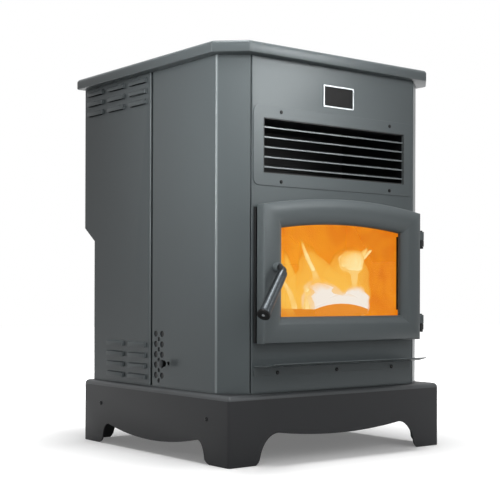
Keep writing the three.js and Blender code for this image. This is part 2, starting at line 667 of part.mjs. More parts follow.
function buildHandle(fireDoor) {
  const handle = new THREE.Group();
  fireDoor.add(handle);
  const { x, z, shaft, back, bend, finger } = latch;
  const { start, spine, neck, capThickness } = grip;
  const along = new THREE.Vector3().subVectors(grip.end, start);
  const length = along.length();
  const at = (distance) => start.clone().addScaledVector(along, distance / length);

  const crank = rod(point(x, back, z), point(x, bend - 1, z), shaft, 16);
  const turned = rod(point(x, bend + 1, z), start, shaft, 12);
  const elbow = solid(new THREE.SphereGeometry(shaft + 0.6, 10, 6).translate(start.x, start.y, start.z));
  const core = rod(start, at(length - 0.5), spine, 12);
  const collar = rodY(x, back - 8, back, z, shaft + 2, 16);
  const hook = block(x - finger, x, back - 7, back - 1, z - 6, z + 6);
  part(handle, 'latch_shaft', joined(crank, turned, elbow, core, collar, hook), blackPaint);

  const sleeve = cut(
    rod(at(neck), at(length - 0.5), grip.startRadius, 20, grip.endRadius),
    rod(at(neck - past), at(length + past), spine + gap, 12),
  );
  part(handle, 'handle_grip', sleeve, bareSteel);
  const cap = rod(at(length), at(length + capThickness), grip.capRadius, 20);
  part(handle, 'handle_end_cap', cap, blackPlastic);
}

function buildAshLip(stove) {
  const rear = cabinet.front - gap;
  const { halfRear, halfFront, z, bend, front, rise, flange } = lip;
  const profile = strip([flat(rear, z - flange), flat(rear, z), flat(bend, z), flat(front, z + rise)], sheet);
  const trims = [-1, 1].map((side) => {
    const beyond = side * (halfRear + 20);
    return prism([flat(side * halfRear, rear - 8), flat(beyond, rear - 8), flat(beyond, front - 10),
      flat(side * halfFront, front - 10), flat(side * halfFront, bend)], 'z', z - 40, z + 20);
  });
  part(stove, 'ash_lip', cut(prism(profile, 'x', -halfRear, halfRear), ...trims), charcoalPaint);
}

// ---------------------------------------------------------------- firebox and burn pot

function buildFirebox(stove) {
  const { halfWidth, rear, bottom, top, wall } = firebox;
  const front = cabinet.front + sheet + gap;
  const y0 = rear - wall - past;
  const y1 = rear + past;
  const { bottom: chuteBottom, top: chuteTop, wall: chuteWall } = chute;
  const chuteX = chute.halfWidth - chuteWall;
  const box = cut(
    block(-halfWidth, halfWidth, front, rear, bottom, top),
    block(-halfWidth + wall, halfWidth - wall, front - past, rear - wall, bottom + wall, top - wall),
    block(-chuteX, chuteX, y0, y1, chuteBottom + chuteWall + 1, chuteTop - chuteWall - 11),
    block(exhaustDuct.x0 + wall, exhaustDuct.x1 - wall, y0, y1, shelf.z + wall + 2, exhaustDuct.top - 5),
    rodY(igniter.x, y0, y1, igniter.z, igniter.radius + 3, 12),
    rodZ(intake.x, intake.riserY, bottom - past, bottom + wall + past, intake.radius - intake.wall, 16),
  );
  const bridge = cut(
    block(-shelf.halfWidth, shelf.halfWidth, shelf.front, rear - wall + 1, shelf.z, shelf.z + wall),
    block(burnPot.x - shelf.halfSlot, burnPot.x + shelf.halfSlot, shelf.slotFront, shelf.slotRear,
      shelf.z - past, shelf.z + wall + past),
  );
  part(stove, 'firebox', joined(box, bridge), blackPaint);

  const standLine = [flat(-stand.halfWidth, stand.rear), flat(-stand.halfWidth, stand.front),
    flat(stand.halfWidth, stand.front), flat(stand.halfWidth, stand.rear)];
  part(stove, 'firebox_stand', prism(strip(standLine, sheet), 'z', panelBottom, bottom - gap), galvanised);

  const { x, z, radius, front: tip, flange } = igniter;
  const rodPart = rodY(x, tip, rear + 4, z, radius, 12);
  part(stove, 'igniter', joined(rodPart, rodY(x, rear + gap, rear + 6, z, flange, 16)), bareSteel);
}

function buildHeatExchanger(stove) {
  const { halfWidth, front, rear } = exchanger;
  const top = firebox.top + firebox.wall;
  const fins = [];
  for (let index = 0; index < fin.count; index += 1) {
    const x = (index - (fin.count - 1) / 2) * fin.pitch;
    fins.push(block(x - fin.halfThickness, x + fin.halfThickness, front + fin.setback, rear - fin.setback,
      top - 1, fin.top));
  }
  const plate = block(-halfWidth, halfWidth, front, rear, firebox.top + gap, top);
  part(stove, 'heat_exchanger', joined(plate, ...fins), galvanised);
}

function buildFirePieces(stove) {
  const { halfTop, front, rear, base, top, wall } = burnPot;
  const { rake, narrow } = bowl;
  const level = (reach, slope, z) => ({ x: reach, y0: front + slope, y1: rear - slope, z });
  const filled = frustum(level(halfTop - narrow, rake, base), level(halfTop, 0, top));
  const hollow = frustum(level(halfTop - narrow - wall, rake + wall, base + wall),
    level(halfTop - wall, wall, top + 0.1));
  const arch = [flat(-halfTop, top - brow.rise)];
  for (let step = 0; step <= brow.steps; step += 1) {
    const share = (2 * step) / brow.steps - 1;
    arch.push(flat(halfTop * share, top + brow.rise * (1 - share * share)));
  }
  arch.push(flat(halfTop, top - brow.rise));
  const plate = prism(arch, 'y', front - brow.halfThickness, front + brow.halfThickness);
  const drains = [-1, 0, 1].map((place) =>
    rodZ(place * drain.pitch, drain.y, base - past, base + wall + past, drain.radius, 8));
  const pot = cut(joined(filled, plate), hollow, ...drains).translate([burnPot.x, 0, 0]);
  part(stove, 'burn_pot', pot, firebrick);

  const low = firebox.bottom + firebox.wall + gap;
  const { halfWidth } = ashPan;
  const pan = cut(
    block(-halfWidth, halfWidth, ashPan.front, ashPan.rear, low, ashPan.top),
    block(-halfWidth + sheet, halfWidth - sheet, ashPan.front + sheet, ashPan.rear - sheet, low + sheet,
      ashPan.top + past),
  );
  part(stove, 'ash_pan', pan, galvanised);
}

function buildWarmAirDuct(stove) {
  const { halfWidth, front, rear, top } = duct;
  const low = firebox.top + gap;
  const inner = halfWidth - sheet;
  const { x0, x1, y1, z0, z1, crossing, inletTop } = riser;
  const y0 = firebox.rear + gap;
  const outside = joined(
    block(-halfWidth, halfWidth, front, rear, low, top),
    block(x0, x1, y0, y1, z0, z1),
    block(x0, x1, rear - 4, y0 + 4, crossing, z1),
  );
  const shape = cut(
    outside,
    block(-inner, inner, front - past, rear - sheet, vent.bottom, top - sheet),
    block(-inner, inner, front + sheet, rear - sheet, low - past, vent.bottom + past),
    block(x0 + sheet, x1 - sheet, y0 + sheet, y1 - sheet, z0 + sheet, z1 - sheet),
    block(x0 + sheet, x1 - sheet, rear - 8, y0 + 8, crossing + sheet, z1 - sheet),
    block(x0 + 3, x1 - 3, y1 - 5, y1 + past, z0 + 3, inletTop),
  );
  part(stove, 'warm_air_duct', shape, galvanised);
}

// ---------------------------------------------------------------- pellet feed

function buildFeed(stove) {
  const low = point(0, auger.lowY, auger.lowZ);
  const axis = point(0, -1, 1).normalize();
  const at = (distance) => low.clone().addScaledVector(axis, distance);
  const { halfWidth: chuteX, wall } = chute;
  const chuteFront = firebox.rear + gap;
  const slotX = feedSlot.halfWidth;
  const tube = cut(
    joined(rod(at(0), at(auger.length), auger.tube, 20),
      block(-chuteX, chuteX, chuteFront, chute.rear, chute.bottom, chute.top)),
    rod(at(-past), at(auger.length + 8), auger.bore, 20),
    block(-chuteX + wall, chuteX - wall, chuteFront - past, chute.rear - wall, chute.bottom + wall,
      chute.top - wall),
    block(-slotX, slotX, feedSlot.front, feedSlot.rear, feedSlot.bottom, feedSlot.top),
  );
  part(stove, 'auger_tube', tube, galvanised);
  part(stove, 'hopper', hopperShell(at), galvanised);

  const turn = new THREE.Quaternion().setFromUnitVectors(point(0, 1, 0), axis);
  const flightStart = 6;
  const flightThickness = 3;
  const stepsPerTurn = 8;
  const turns = 5;
  const sections = [];
  for (let step = 0; step <= stepsPerTurn * turns; step += 1) {
    const angle = (2 * Math.PI * step) / stepsPerTurn;
    const rise = flightStart + (auger.pitch * step) / stepsPerTurn;
    const direction = point(Math.cos(angle), 0, Math.sin(angle));
    const corner = (radius, lift) =>
      direction.clone().multiplyScalar(radius).setY(rise + lift).applyQuaternion(turn).add(low);
    const root = auger.shaft - 2;
    sections.push([corner(root, 0), corner(auger.flight, 0), corner(auger.flight, flightThickness),
      corner(root, flightThickness)]);
  }
  const shaft = rod(at(-16), at(auger.length - 14), auger.shaft, 12);
  part(stove, 'auger', joined(sweep(sections), shaft), bareSteel);

  const { halfWidth, depth, can, canEnd } = gearmotor;
  const gearbox = new THREE.BoxGeometry(2 * halfWidth, depth, 2 * halfWidth);
  gearbox.translate(0, -depth / 2 - gap - 1, 0).applyQuaternion(turn).translate(low.x, low.y, low.z);
  const socket = rod(at(-20), at(2), auger.shaft + gap, 12);
  const motor = joined(solid(gearbox), rod(at(-depth), at(-canEnd), can, 20));
  part(stove, 'auger_gearmotor', cut(motor, socket), bareSteel);
}

function hopperShell(at) {
  const { halfWidth, front, rear, shoulder, skin } = hopper;
  const neck = hopperNeck;
  const filled = (inset, over) => joined(
    block(-halfWidth + inset, halfWidth - inset, front + inset, rear - inset, shoulder,
      cabinet.top - gap + over),
    frustum({ x: neck.halfWidth - inset, y0: neck.front + inset, y1: neck.rear - inset, z: neck.top },
      { x: halfWidth - inset, y0: front + inset, y1: rear - inset, z: shoulder }),
    block(-neck.halfWidth + inset, neck.halfWidth - inset, neck.front + inset, neck.rear - inset,
      neck.bottom, neck.top),
  );
  const cradle = rod(at(-60), at(auger.length + 60), auger.tube + gap, 20);
  const farSide = 200;
  const below = prism([flat(-farSide, 100), flat(auger.lowY + 250, auger.lowZ - 250),
    flat(auger.lowY - farSide, auger.lowZ + farSide), flat(-farSide, auger.lowZ + farSide)], 'x', -100, 100);
  return cut(filled(0, 0), filled(skin, past), cradle, below);
}

// ---------------------------------------------------------------- fans and air paths

function impeller({ x0, x1, radius, blades, y, z, shaftFrom, shaftTo }) {
  const hub = { radius: 12, depth: 14 };
  const backPlate = 3;
  const shaftRadius = 4;
  const root = hub.radius + 2;
  const fan = [
    rodX(x0, x0 + backPlate, y, z, radius, 24),
    rodX(shaftFrom, shaftTo, y, z, shaftRadius, 12),
    rodX(x0, x0 + hub.depth, y, z, hub.radius, 16),
  ];
  for (let index = 0; index < blades; index += 1) {
    const blade = new THREE.BoxGeometry(x1 - x0 - 1, 2.5, radius - root);
    blade.translate((x0 + x1) / 2 + 0.5, 0, (radius + root) / 2);
    blade.rotateX((2 * Math.PI * index) / blades).translate(0, y, z);
    fan.push(solid(blade));
  }
  return joined(...fan);
}

// A drum with a straight outlet; the eye is on one flat face and the shaft hole on the other.
function blowerHousing({ x, halfWidth, y, z, radius, eye }, outlet, eyeSide) {
  const wall = 2.5;
  const shaftHole = 6;
  const forward = outlet.y < y;
  const filled = (inset, over) => joined(
    rodX(x - halfWidth + inset, x + halfWidth - inset, y, z, radius - inset, 28),
    block(x - halfWidth + inset, x + halfWidth - inset, forward ? outlet.y - over : y,
      forward ? y : outlet.y + over, outlet.z0 + inset, outlet.z1 - inset),
  );
  const bore = (at, boreRadius) => rodX(at - 5, at + 5, y, z, boreRadius, 20);
  return cut(filled(0, 0), filled(wall, past), bore(x + eyeSide * halfWidth, eye),
    bore(x - eyeSide * halfWidth, shaftHole));
}

function motorCan(from, to, y, z, radius, bearing) {
  const shaftClearance = 4.4;
  return cut(rodX(from, to, y, z, radius, 24), rodX(bearing[0], bearing[1], y, z, shaftClearance, 12));
}

function buildExhaust(stove) {
  const { x, halfWidth, y, z, radius, eye, rear } = exhaust;
  const nearX = x + halfWidth;
  const farX = x - halfWidth;
  const { x0, x1, rear: ductRear, bottom, top } = exhaustDuct;
  const inside = exhaustDuct.x0 + sheet;
  const passage = cut(
    joined(block(x0, x1, firebox.rear + gap, ductRear, bottom, top),
      rodX(nearX - 1, inside, y, z, eye + 2.5, 20)),
    block(inside, x1 - sheet, firebox.rear - past, ductRear - sheet, bottom + sheet, top - sheet),
  );
  const scroll = blowerHousing(exhaust, { y: rear, z0: z - radius, z1: z }, 1);
  const housing = cut(joined(scroll, passage), rodX(nearX - 5, inside + 5, y, z, eye, 20));
  part(stove, 'exhaust_blower_housing', housing, bareSteel);
  const shaft = { shaftFrom: farX - 24, shaftTo: farX + 14 };
  const wheel = impeller({ x0: farX + 10, x1: nearX - 10, radius: 56, blades: 8, y, z, ...shaft });
  part(stove, 'exhaust_impeller', wheel, bareSteel);
  part(stove, 'exhaust_motor', motorCan(farX - 68, farX - 3, y, z, 42, [farX - 26, farX + 1]), blackPaint);

  const pipe = cut(
    joined(rodY(x, rear + gap, flue.end, flue.z, flue.radius, 28),
      rodY(x, cabinet.lowerRear + gap, cabinet.lowerRear + 3, flue.z, flue.flange, 28)),
    rodY(x, rear - past, flue.end + past, flue.z, flue.radius - flue.wall, 28),
  );
  part(stove, 'flue_outlet', pipe, bareSteel);
}

function buildConvection(stove) {
  const { x, halfWidth, y, z, radius, front } = convection;
  const nearX = x - halfWidth;
  const farX = x + halfWidth;
  const housing = blowerHousing(convection, { y: front, z0: z + 5, z1: z + radius }, -1);
  part(stove, 'convection_blower_housing', housing, galvanised);
  const shaft = { shaftFrom: nearX + 16, shaftTo: farX + 24 };
  const wheel = impeller({ x0: nearX + 12, x1: farX - 14, radius: 60, blades: 12, y, z, ...shaft });
  part(stove, 'convection_wheel', wheel, bareSteel);
  part(stove, 'convection_motor', motorCan(farX + 3, farX + 58, y, z, 38, [farX - 1, farX + 26]), blackPaint);
}

function buildIntake(stove) {
  const { x, z, radius, wall, end, riserY } = intake;
  const { x0, x1, y0, y1, z0, z1 } = airBox;
  const top = firebox.bottom - gap;
  const bore = radius - wall;
  const pipe = cut(
    joined(block(x0, x1, y0, y1, z0, z1), rodY(x, y1 - 1, end, z, radius, 20),
      rodZ(x, riserY, z1 - 1, top, radius, 20)),
    block(x0 + wall, x1 - wall, y0 + wall, y1 - wall, z0 + wall, z1 - wall),
    rodY(x, y1 - 2 * wall, end + past, z, bore, 20),
    rodZ(x, riserY, z1 - 2 * wall, top + past, bore, 20),
    rodX(x0 - past, x0 + wall + past, damper.y, damper.z, damper.disc - 4, 16),
  );
  part(stove, 'air_intake_pipe', pipe, galvanised);

  const slide = new THREE.Group();
  stove.add(slide);
  const { y, rod: thin, rodEnd, knobEnd, knob, knobDepth, disc } = damper;
  const discFace = x0 - gap;
  const discBack = discFace - 3;
  const valve = joined(rodX(rodEnd, discFace - 1, y, z, thin, 12), rodX(discBack, discFace, y, z, disc, 20));
  part(slide, 'damper_rod', valve, bareSteel);
  const pull = cut(rodX(knobEnd, knobEnd + knobDepth, y, z, knob, 20),
    rodX(rodEnd - gap, rodEnd + knobDepth, y, z, thin + gap, 12));
  part(slide, 'damper_knob', pull, blackPlastic);
}

// ---------------------------------------------------------------- hopper lid, controls, inlet

function buildLid(stove) {
  const { halfWidth, front, rear, height, skin } = lid;
  const low = topSurface + gap;
  const high = low + height;
  const cover = new THREE.Group();
  stove.add(cover);
  const { x, y, z, barrel, pin, knuckle, reach } = lidHinge;
  const knuckles = [-x, x].map((at) => joined(
    block(at - knuckle, at + knuckle, rear - 2, y, low + 1, z + 4),
    rodX(at - knuckle, at + knuckle, y, z, barrel, 12),
    rodX(at - reach, at + reach, y, z, pin, 10),
  ));
  const tray = cut(
    block(-halfWidth, halfWidth, front, rear, low, high),
    block(-halfWidth + skin, halfWidth - skin, front + skin, rear - skin, low - past, high - skin),
  );
  part(cover, 'hopper_lid', joined(tray, ...knuckles), charcoalPaint);

  const bar = lidHandle;
  const base = high + gap;
  const feet = [-1, 1].map((side) => {
    const outer = side * (bar.halfWidth - 1);
    const inner = side * (bar.halfWidth - bar.foot);
    return block(Math.min(outer, inner), Math.max(outer, inner), bar.front + 2, bar.rear - 2, base,
      base + bar.clearance + 1);
  });
  const grasp = block(-bar.halfWidth, bar.halfWidth, bar.front, bar.rear, base + bar.clearance,
    base + bar.height);
  part(cover, 'lid_handle', joined(grasp, ...feet), blackPaint);
}

function buildControls(stove) {
  const { nearY, farY, bottom, top, thickness, radius } = controls;
  const back = cabinet.halfWidth + gap;
  const face = back + thickness;
  const places = Object.entries(buttonPlaces);
  const bezel = cut(
    prism(roundedRectangle(nearY, farY, bottom, top, radius), 'x', back, face, 3),
    block(face - display.depth, face + past, display.nearY, display.farY, display.bottom, display.top),
    ...places.map(([, y]) => rodX(back - past, face + past, y, button.z, button.radius + gap, 20)),
  );
  part(stove, 'control_panel', bezel, blackPlastic);
  places.forEach(([name, y]) => {
    const tip = face + button.proud;
    part(stove, `${name}_button`, rodX(tip - button.depth, tip, y, button.z, button.radius, 20), silverTrim);
  });

  const { x0, x1, y0, y1, z0, z1, wall } = inlet;
  const socket = cut(block(x0, x1, y0, y1, z0, z1),
    block(x0 + wall, x1 - wall, y0 + wall, y1 + past, z0 + wall, z1 - wall));
  part(stove, 'power_inlet', socket, blackPlastic);
}

// ---------------------------------------------------------------- the whole stove

const stove = new THREE.Group();
buildPedestal(stove);
buildCabinet(stove);
buildVent(stove);
buildSurround(stove);
buildDoor(stove);
buildAshLip(stove);
buildFirebox(stove);
buildHeatExchanger(stove);
buildFirePieces(stove);
buildWarmAirDuct(stove);
buildFeed(stove);
buildExhaust(stove);
buildConvection(stove);
buildIntake(stove);
buildLid(stove);
buildControls(stove);

// The handle reaches further forward than anything reaches back, so the stove is centred on its own depth.
const reach = new THREE.Box3().setFromObject(stove);
stove.position.y = -(reach.min.y + reach.max.y) / 2;

export default stove;
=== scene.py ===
"""A free-standing pellet stove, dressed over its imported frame.

The classes hold millimetres, measured as on the real stove: x to the right of the fire door, y
backwards and z up from the floor. TO_FRAME takes a finished mesh into the frame's metres.
"""

import json
import logging
import math
import random
from collections.abc import Callable, Iterable, Sequence
from dataclasses import dataclass
from enum import Enum
from typing import ClassVar

import bmesh
import bpy
from mathutils import Matrix, Vector
from mathutils import noise as fractal


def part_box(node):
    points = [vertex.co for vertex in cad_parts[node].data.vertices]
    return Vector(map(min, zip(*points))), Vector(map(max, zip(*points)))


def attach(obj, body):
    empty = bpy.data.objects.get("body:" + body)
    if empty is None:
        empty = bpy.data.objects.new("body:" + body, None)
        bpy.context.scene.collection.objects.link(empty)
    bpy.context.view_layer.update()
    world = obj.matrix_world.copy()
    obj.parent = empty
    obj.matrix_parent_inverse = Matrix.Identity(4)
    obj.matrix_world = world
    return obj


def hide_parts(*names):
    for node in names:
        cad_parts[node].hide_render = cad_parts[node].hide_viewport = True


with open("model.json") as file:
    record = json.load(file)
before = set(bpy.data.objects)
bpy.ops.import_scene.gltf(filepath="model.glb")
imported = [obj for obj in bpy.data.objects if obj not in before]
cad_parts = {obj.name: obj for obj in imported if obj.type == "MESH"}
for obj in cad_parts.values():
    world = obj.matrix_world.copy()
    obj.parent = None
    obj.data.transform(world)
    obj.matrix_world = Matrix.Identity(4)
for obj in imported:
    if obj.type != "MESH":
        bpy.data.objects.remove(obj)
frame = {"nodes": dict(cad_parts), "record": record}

LOG = logging.getLogger("pellet_stove")
Point = tuple[float, float]
Pair = tuple[float, float]
Triple = tuple[float, float, float]
Window = tuple[float, float, float, float]  # two ends one way and two ends the other
Solid = bmesh.types.BMesh
Tree = bpy.types.NodeTree
Socket = bpy.types.NodeSocket

MM = 0.001
GAP = 0.3  # what neighbouring pieces keep between them
SHEET = 2.0  # folded sheet steel
PAST = 1.0  # how far a cutting shape runs past the face that it cuts
WELD = 0.005  # points closer than this become one
FRONT = -310.0  # the cabinet's front face
BACK = 302.0  # its rear face below the step
SIDE = 334.0  # half the cabinet's width
DAMPER_Y, DAMPER_Z = -61.0, 227.0  # where the damper's rod leaves the left side
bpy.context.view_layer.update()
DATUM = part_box("front_panel")[0].y - FRONT * MM
TO_FRAME = Matrix.Translation((0.0, DATUM, 0.0)) @ Matrix.Scale(MM, 4)

RIGHT = Vector((1.0, 0.0, 0.0))
LEFT = Vector((-1.0, 0.0, 0.0))
REARWARD = Vector((0.0, 1.0, 0.0))
FORWARD = Vector((0.0, -1.0, 0.0))
UP = Vector((0.0, 0.0, 1.0))


# ------------------------------------------------------------------ meshes


class Axis(Enum):
    """The axis that an outline is pushed along; the outline lies on the other two, in order."""

    X = ((0, 0, 1, 0), (1, 0, 0, 0), (0, 1, 0, 0), (0, 0, 0, 1))
    Y = ((1, 0, 0, 0), (0, 0, 1, 0), (0, 1, 0, 0), (0, 0, 0, 1))
    Z = ((1, 0, 0, 0), (0, 1, 0, 0), (0, 0, 1, 0), (0, 0, 0, 1))


def loft(loops: Sequence[Sequence[Vector]], around: bool = False) -> Solid:
    """Skins equally long loops of points in turn.

    Args:
        loops: the loops, each closed on itself.
        around: joins the last loop to the first; otherwise both ends are capped.

    Returns:
        The closed surface.
    """
    solid = bmesh.new()
    rows = [[solid.verts.new(point) for point in loop] for loop in loops]
    solid.verts.index_update()
    count = len(rows[0])
    pairs = list(zip(rows, rows[1:] + rows[:1])) if around else list(zip(rows, rows[1:]))
    for low, high in pairs:
        for index in range(count):
            after = (index + 1) % count
            solid.faces.new((low[index], low[after], high[after], high[index]))
    if not around:
        solid.faces.new(list(reversed(rows[0])))
        solid.faces.new(rows[-1])
    bmesh.ops.recalc_face_normals(solid, faces=solid.faces)
    return solid


def prism(outline: Sequence[Point], axis: Axis, low: float, high: float) -> Solid:
    """Pushes a flat outline along an axis.

    Args:
        outline: the outline's corners.
        axis: the axis that it is pushed along.
        low: where it starts on the axis.
        high: where it ends.

    Returns:
        The closed solid.
    """
    solid = loft([[Vector((u, v, depth)) for u, v in outline] for depth in (low, high)])
    solid.transform(Matrix(axis.value))
    bmesh.ops.recalc_face_normals(solid, faces=solid.faces)
    return solid


def block(x0: float, x1: float, y0: float, y1: float, z0: float, z1: float) -> Solid:
    """A box between two corners."""
    return prism([(x0, y0), (x1, y0), (x1, y1), (x0, y1)], Axis.Z, z0, z1)


def turns(sides: int) -> list[float]:
    """The angles of equally spaced points round a circle."""
    return [math.tau * side / sides for side in range(sides)]


def standing(start: Vector, along: Vector) -> Matrix:
    """The placement that takes the origin to a start and the Z axis along a direction."""
    return Matrix.Translation(start) @ along.to_track_quat("Z", "Y").to_matrix().to_4x4()


def lathe(profile: Sequence[Point], start: Vector, along: Vector, sides: int = 32) -> Solid:
    """Turns a profile about a line.

    Args:
        profile: pairs of a radius and a distance along the line.
        start: the line's start.
        along: the line's direction.
        sides: the number of points round it.

    Returns:
        The turned solid, capped at both ends.
    """
    stand = standing(start, along)
    return loft([[stand @ Vector((radius * math.cos(angle), radius * math.sin(angle), distance))
                  for angle in turns(sides)] for radius, distance in profile])


def rod(radius: float, length: float, start: Vector, along: Vector, sides: int) -> Solid:
    """A plain round bar."""
    return lathe([(radius, 0.0), (radius, length)], start, along, sides)


def merge(*solids: Solid) -> Solid:
    """Puts several meshes into one and frees them.

    Args:
        solids: the meshes.

    Returns:
        The one mesh.
    """
    whole = bmesh.new()
    for solid in solids:
        mesh = bpy.data.meshes.new("merged")
        solid.to_mesh(mesh)
        solid.free()
        whole.from_mesh(mesh)
        bpy.data.meshes.remove(mesh)
    return whole


def cut(solid: Solid, *tools: Solid) -> Solid:
    """Takes shapes out of a solid, and frees them and the solid.

    Args:
        solid: what is cut.
        tools: the shapes, which stay clear of each other.

    Returns:
        What is left of the solid.
    """
    scratch = []
    for shape in (solid, merge(*tools)):
        mesh = bpy.data.meshes.new("scratch")
        shape.to_mesh(mesh)
        shape.free()
        scratch.append(bpy.data.objects.new("scratch", mesh))
        bpy.context.scene.collection.objects.link(scratch[-1])
    body, cutter = scratch
    boolean = body.modifiers.new("cut", "BOOLEAN")
    boolean.operation = "DIFFERENCE"
    boolean.solver = "EXACT"
    boolean.object = cutter
    evaluated = body.evaluated_get(bpy.context.evaluated_depsgraph_get())
    mesh = bpy.data.meshes.new_from_object(evaluated)
    rest = bmesh.new()
    rest.from_mesh(mesh)
    bpy.data.meshes.remove(mesh)
    for leftover in scratch:
        data = leftover.data
        bpy.data.objects.remove(leftover)
        bpy.data.meshes.remove(data)
    return rest


def refined(name: str) -> Solid:
    """Copies a frame node's solid and makes its flat faces whole again.

    Args:
        name: the node's name.

    Returns:
        The copy, in millimetres.
    """
    solid = bmesh.new()
    solid.from_mesh(frame["nodes"][name].data)
    solid.transform(TO_FRAME.inverted())
    bmesh.ops.remove_doubles(solid, verts=solid.verts, dist=2 * WELD)
    bmesh.ops.dissolve_limit(solid, angle_limit=math.radians(1.0), verts=solid.verts, edges=solid.edges)
    return solid


def mirrored(solid: Solid) -> Solid:
    """Takes a solid over to the stove's other side.

    Args:
        solid: the solid, which is changed.

    Returns:
        The same solid.
    """
    solid.transform(Matrix.Scale(-1.0, 4, RIGHT))
    bmesh.ops.reverse_faces(solid, faces=solid.faces)
    return solid


def rounded(corners: Sequence[Point], radius: float, closed: bool = True, steps: int = 4) -> list[Point]:
    """Eases the corners of an outline.

    Args:
        corners: the sharp corners, in order.
        radius: the length that each curve takes from the straight runs.
        closed: whether the last corner joins the first; otherwise both ends stay as they are.
        steps: the straight pieces in each curve.

    Returns:
        The eased outline.
    """
    eased: list[Point] = []
    count = len(corners)
    for index, corner in enumerate(corners):
        if not closed and index in (0, count - 1):
            eased.append(corner)
            continue
        at = Vector(corner)
        before = at + (Vector(corners[index - 1]) - at).normalized() * radius
        after = at + (Vector(corners[(index + 1) % count]) - at).normalized() * radius
        for step in range(steps + 1):
            share = step / steps
            point = before.lerp(at, share).lerp(at.lerp(after, share), share)
            eased.append((point.x, point.y))
    return eased


def rectangle(u0: float, u1: float, v0: float, v1: float, radius: float = 0.0) -> list[Point]:
    """A rectangle's outline, with eased corners where a radius is given."""
    corners = [(u0, v0), (u1, v0), (u1, v1), (u0, v1)]
    return rounded(corners, radius) if radius else corners


def rolled(radius: float, crest: float, steps: int) -> list[Point]:
    """The section of a rolled top edge.

    Args:
        radius: the roll's radius.
        crest: its highest level.
        steps: the straight pieces in it.

    Returns:
        Pairs of an inset and a height, from the upright face to the crest.
    """
    angles = [math.pi / 2 * step / steps for step in range(steps + 1)]
    return [(radius * (1 - math.cos(angle)), crest - radius + radius * math.sin(angle)) for angle in angles]


def folded(line: Sequence[Point], bend: float) -> list[Point]:
    """The section of a folded sheet.

    Args:
        line: the sheet's outer face, with the metal on its left.
        bend: the length that each bend takes from the straight runs.

    Returns:
        The section's outline, one sheet thick.
    """
    outer = [Vector(point) for point in rounded(line, bend, closed=False)]
    inner = []
    for index, point in enumerate(outer):
        ahead = outer[min(index + 1, len(outer) - 1)] - outer[max(index - 1, 0)]
        inner.append(point + Vector((-ahead.y, ahead.x)).normalized() * SHEET)
    return [(point.x, point.y) for point in outer + inner[::-1]]


def shaped(
    name: str,
    body: str,
    solid: Solid,
    finish: "Finish",
    edge: float = 0.0,
    stands_for: Iterable[str] = (),
    crease: float = 35.0,
    painted_highlight: tuple["Finish", Callable[[bmesh.types.BMFace], bool]] | None = None,
) -> bpy.types.Object:
    """Turns a mesh into a piece of the stove.

    Args:
        name: the piece's name.
        body: the moving body that it rides on.
        solid: its mesh, in millimetres.
        finish: what its surface is.
        edge: the width of its eased edges, in millimetres.
        stands_for: the frame's nodes that it replaces.
        crease: the angle past which an edge stays sharp, in degrees.
        painted_highlight: a second, paler finish for a painted highlight, and the test that tells which faces
            get it.

    Returns:
        The piece.
    """
    bmesh.ops.remove_doubles(solid, verts=solid.verts, dist=WELD)
    if painted_highlight:
        solid.normal_update()
        for face in solid.faces:
            face.material_index = int(painted_highlight[1](face))
    solid.transform(TO_FRAME)
    sharp = math.radians(crease)
    for seam in solid.edges:
        seam.smooth = seam.calc_face_angle(0.0) < sharp
    for face in solid.faces:
        face.smooth = True
    mesh = bpy.data.meshes.new(name)
    solid.to_mesh(mesh)
    solid.free()
    mesh.materials.append(finish.material())
    if painted_highlight:
        mesh.materials.append(painted_highlight[0].material())
    made = bpy.data.objects.new(name, mesh)
    bpy.context.scene.collection.objects.link(made)
    if edge:
        bevel = made.modifiers.new("eased_edges", "BEVEL")
        bevel.width = edge * MM
        bevel.segments = 2
        bevel.angle_limit = sharp
        bevel.harden_normals = True
        bevel.use_clamp_overlap = False
    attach(made, body)
    nodes = tuple(stands_for)
    if nodes:
        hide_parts(*nodes)
    LOG.info("%s rides on %s, %s", name, body, finish.name)
    return made


# ------------------------------------------------------------------ finishes


def linear(code: str) -> tuple[float, float, float, float]:
    """Turns an sRGB hex colour into linear values.

    Args:
        code: the colour, such as "#5c6365".

    Returns:
        Its red, green and blue, and full alpha.
    """
    parts = [int(code[index : index + 2], 16) / 255 for index in (1, 3, 5)]
    low = [part / 12.92 if part <= 0.04045 else ((part + 0.055) / 1.055) ** 2.4 for part in parts]
    return (*low, 1.0)


def node(tree: Tree, kind: str, inputs: dict | None = None, **settings: object) -> bpy.types.Node:
    """Adds a shader node.

    Args:
        tree: the tree that it goes into.
        kind: the node's type.
        inputs: what each input holds: a value, or the output that it is linked to.
        settings: the node's own settings.

    Returns:
        The node.
    """
    made = tree.nodes.new(kind)
    for name, value in settings.items():
        setattr(made, name, value)
    for key, value in (inputs or {}).items():
        if isinstance(value, Socket):
            tree.links.new(value, made.inputs[key])
        else:
            made.inputs[key].default_value = value
    return made


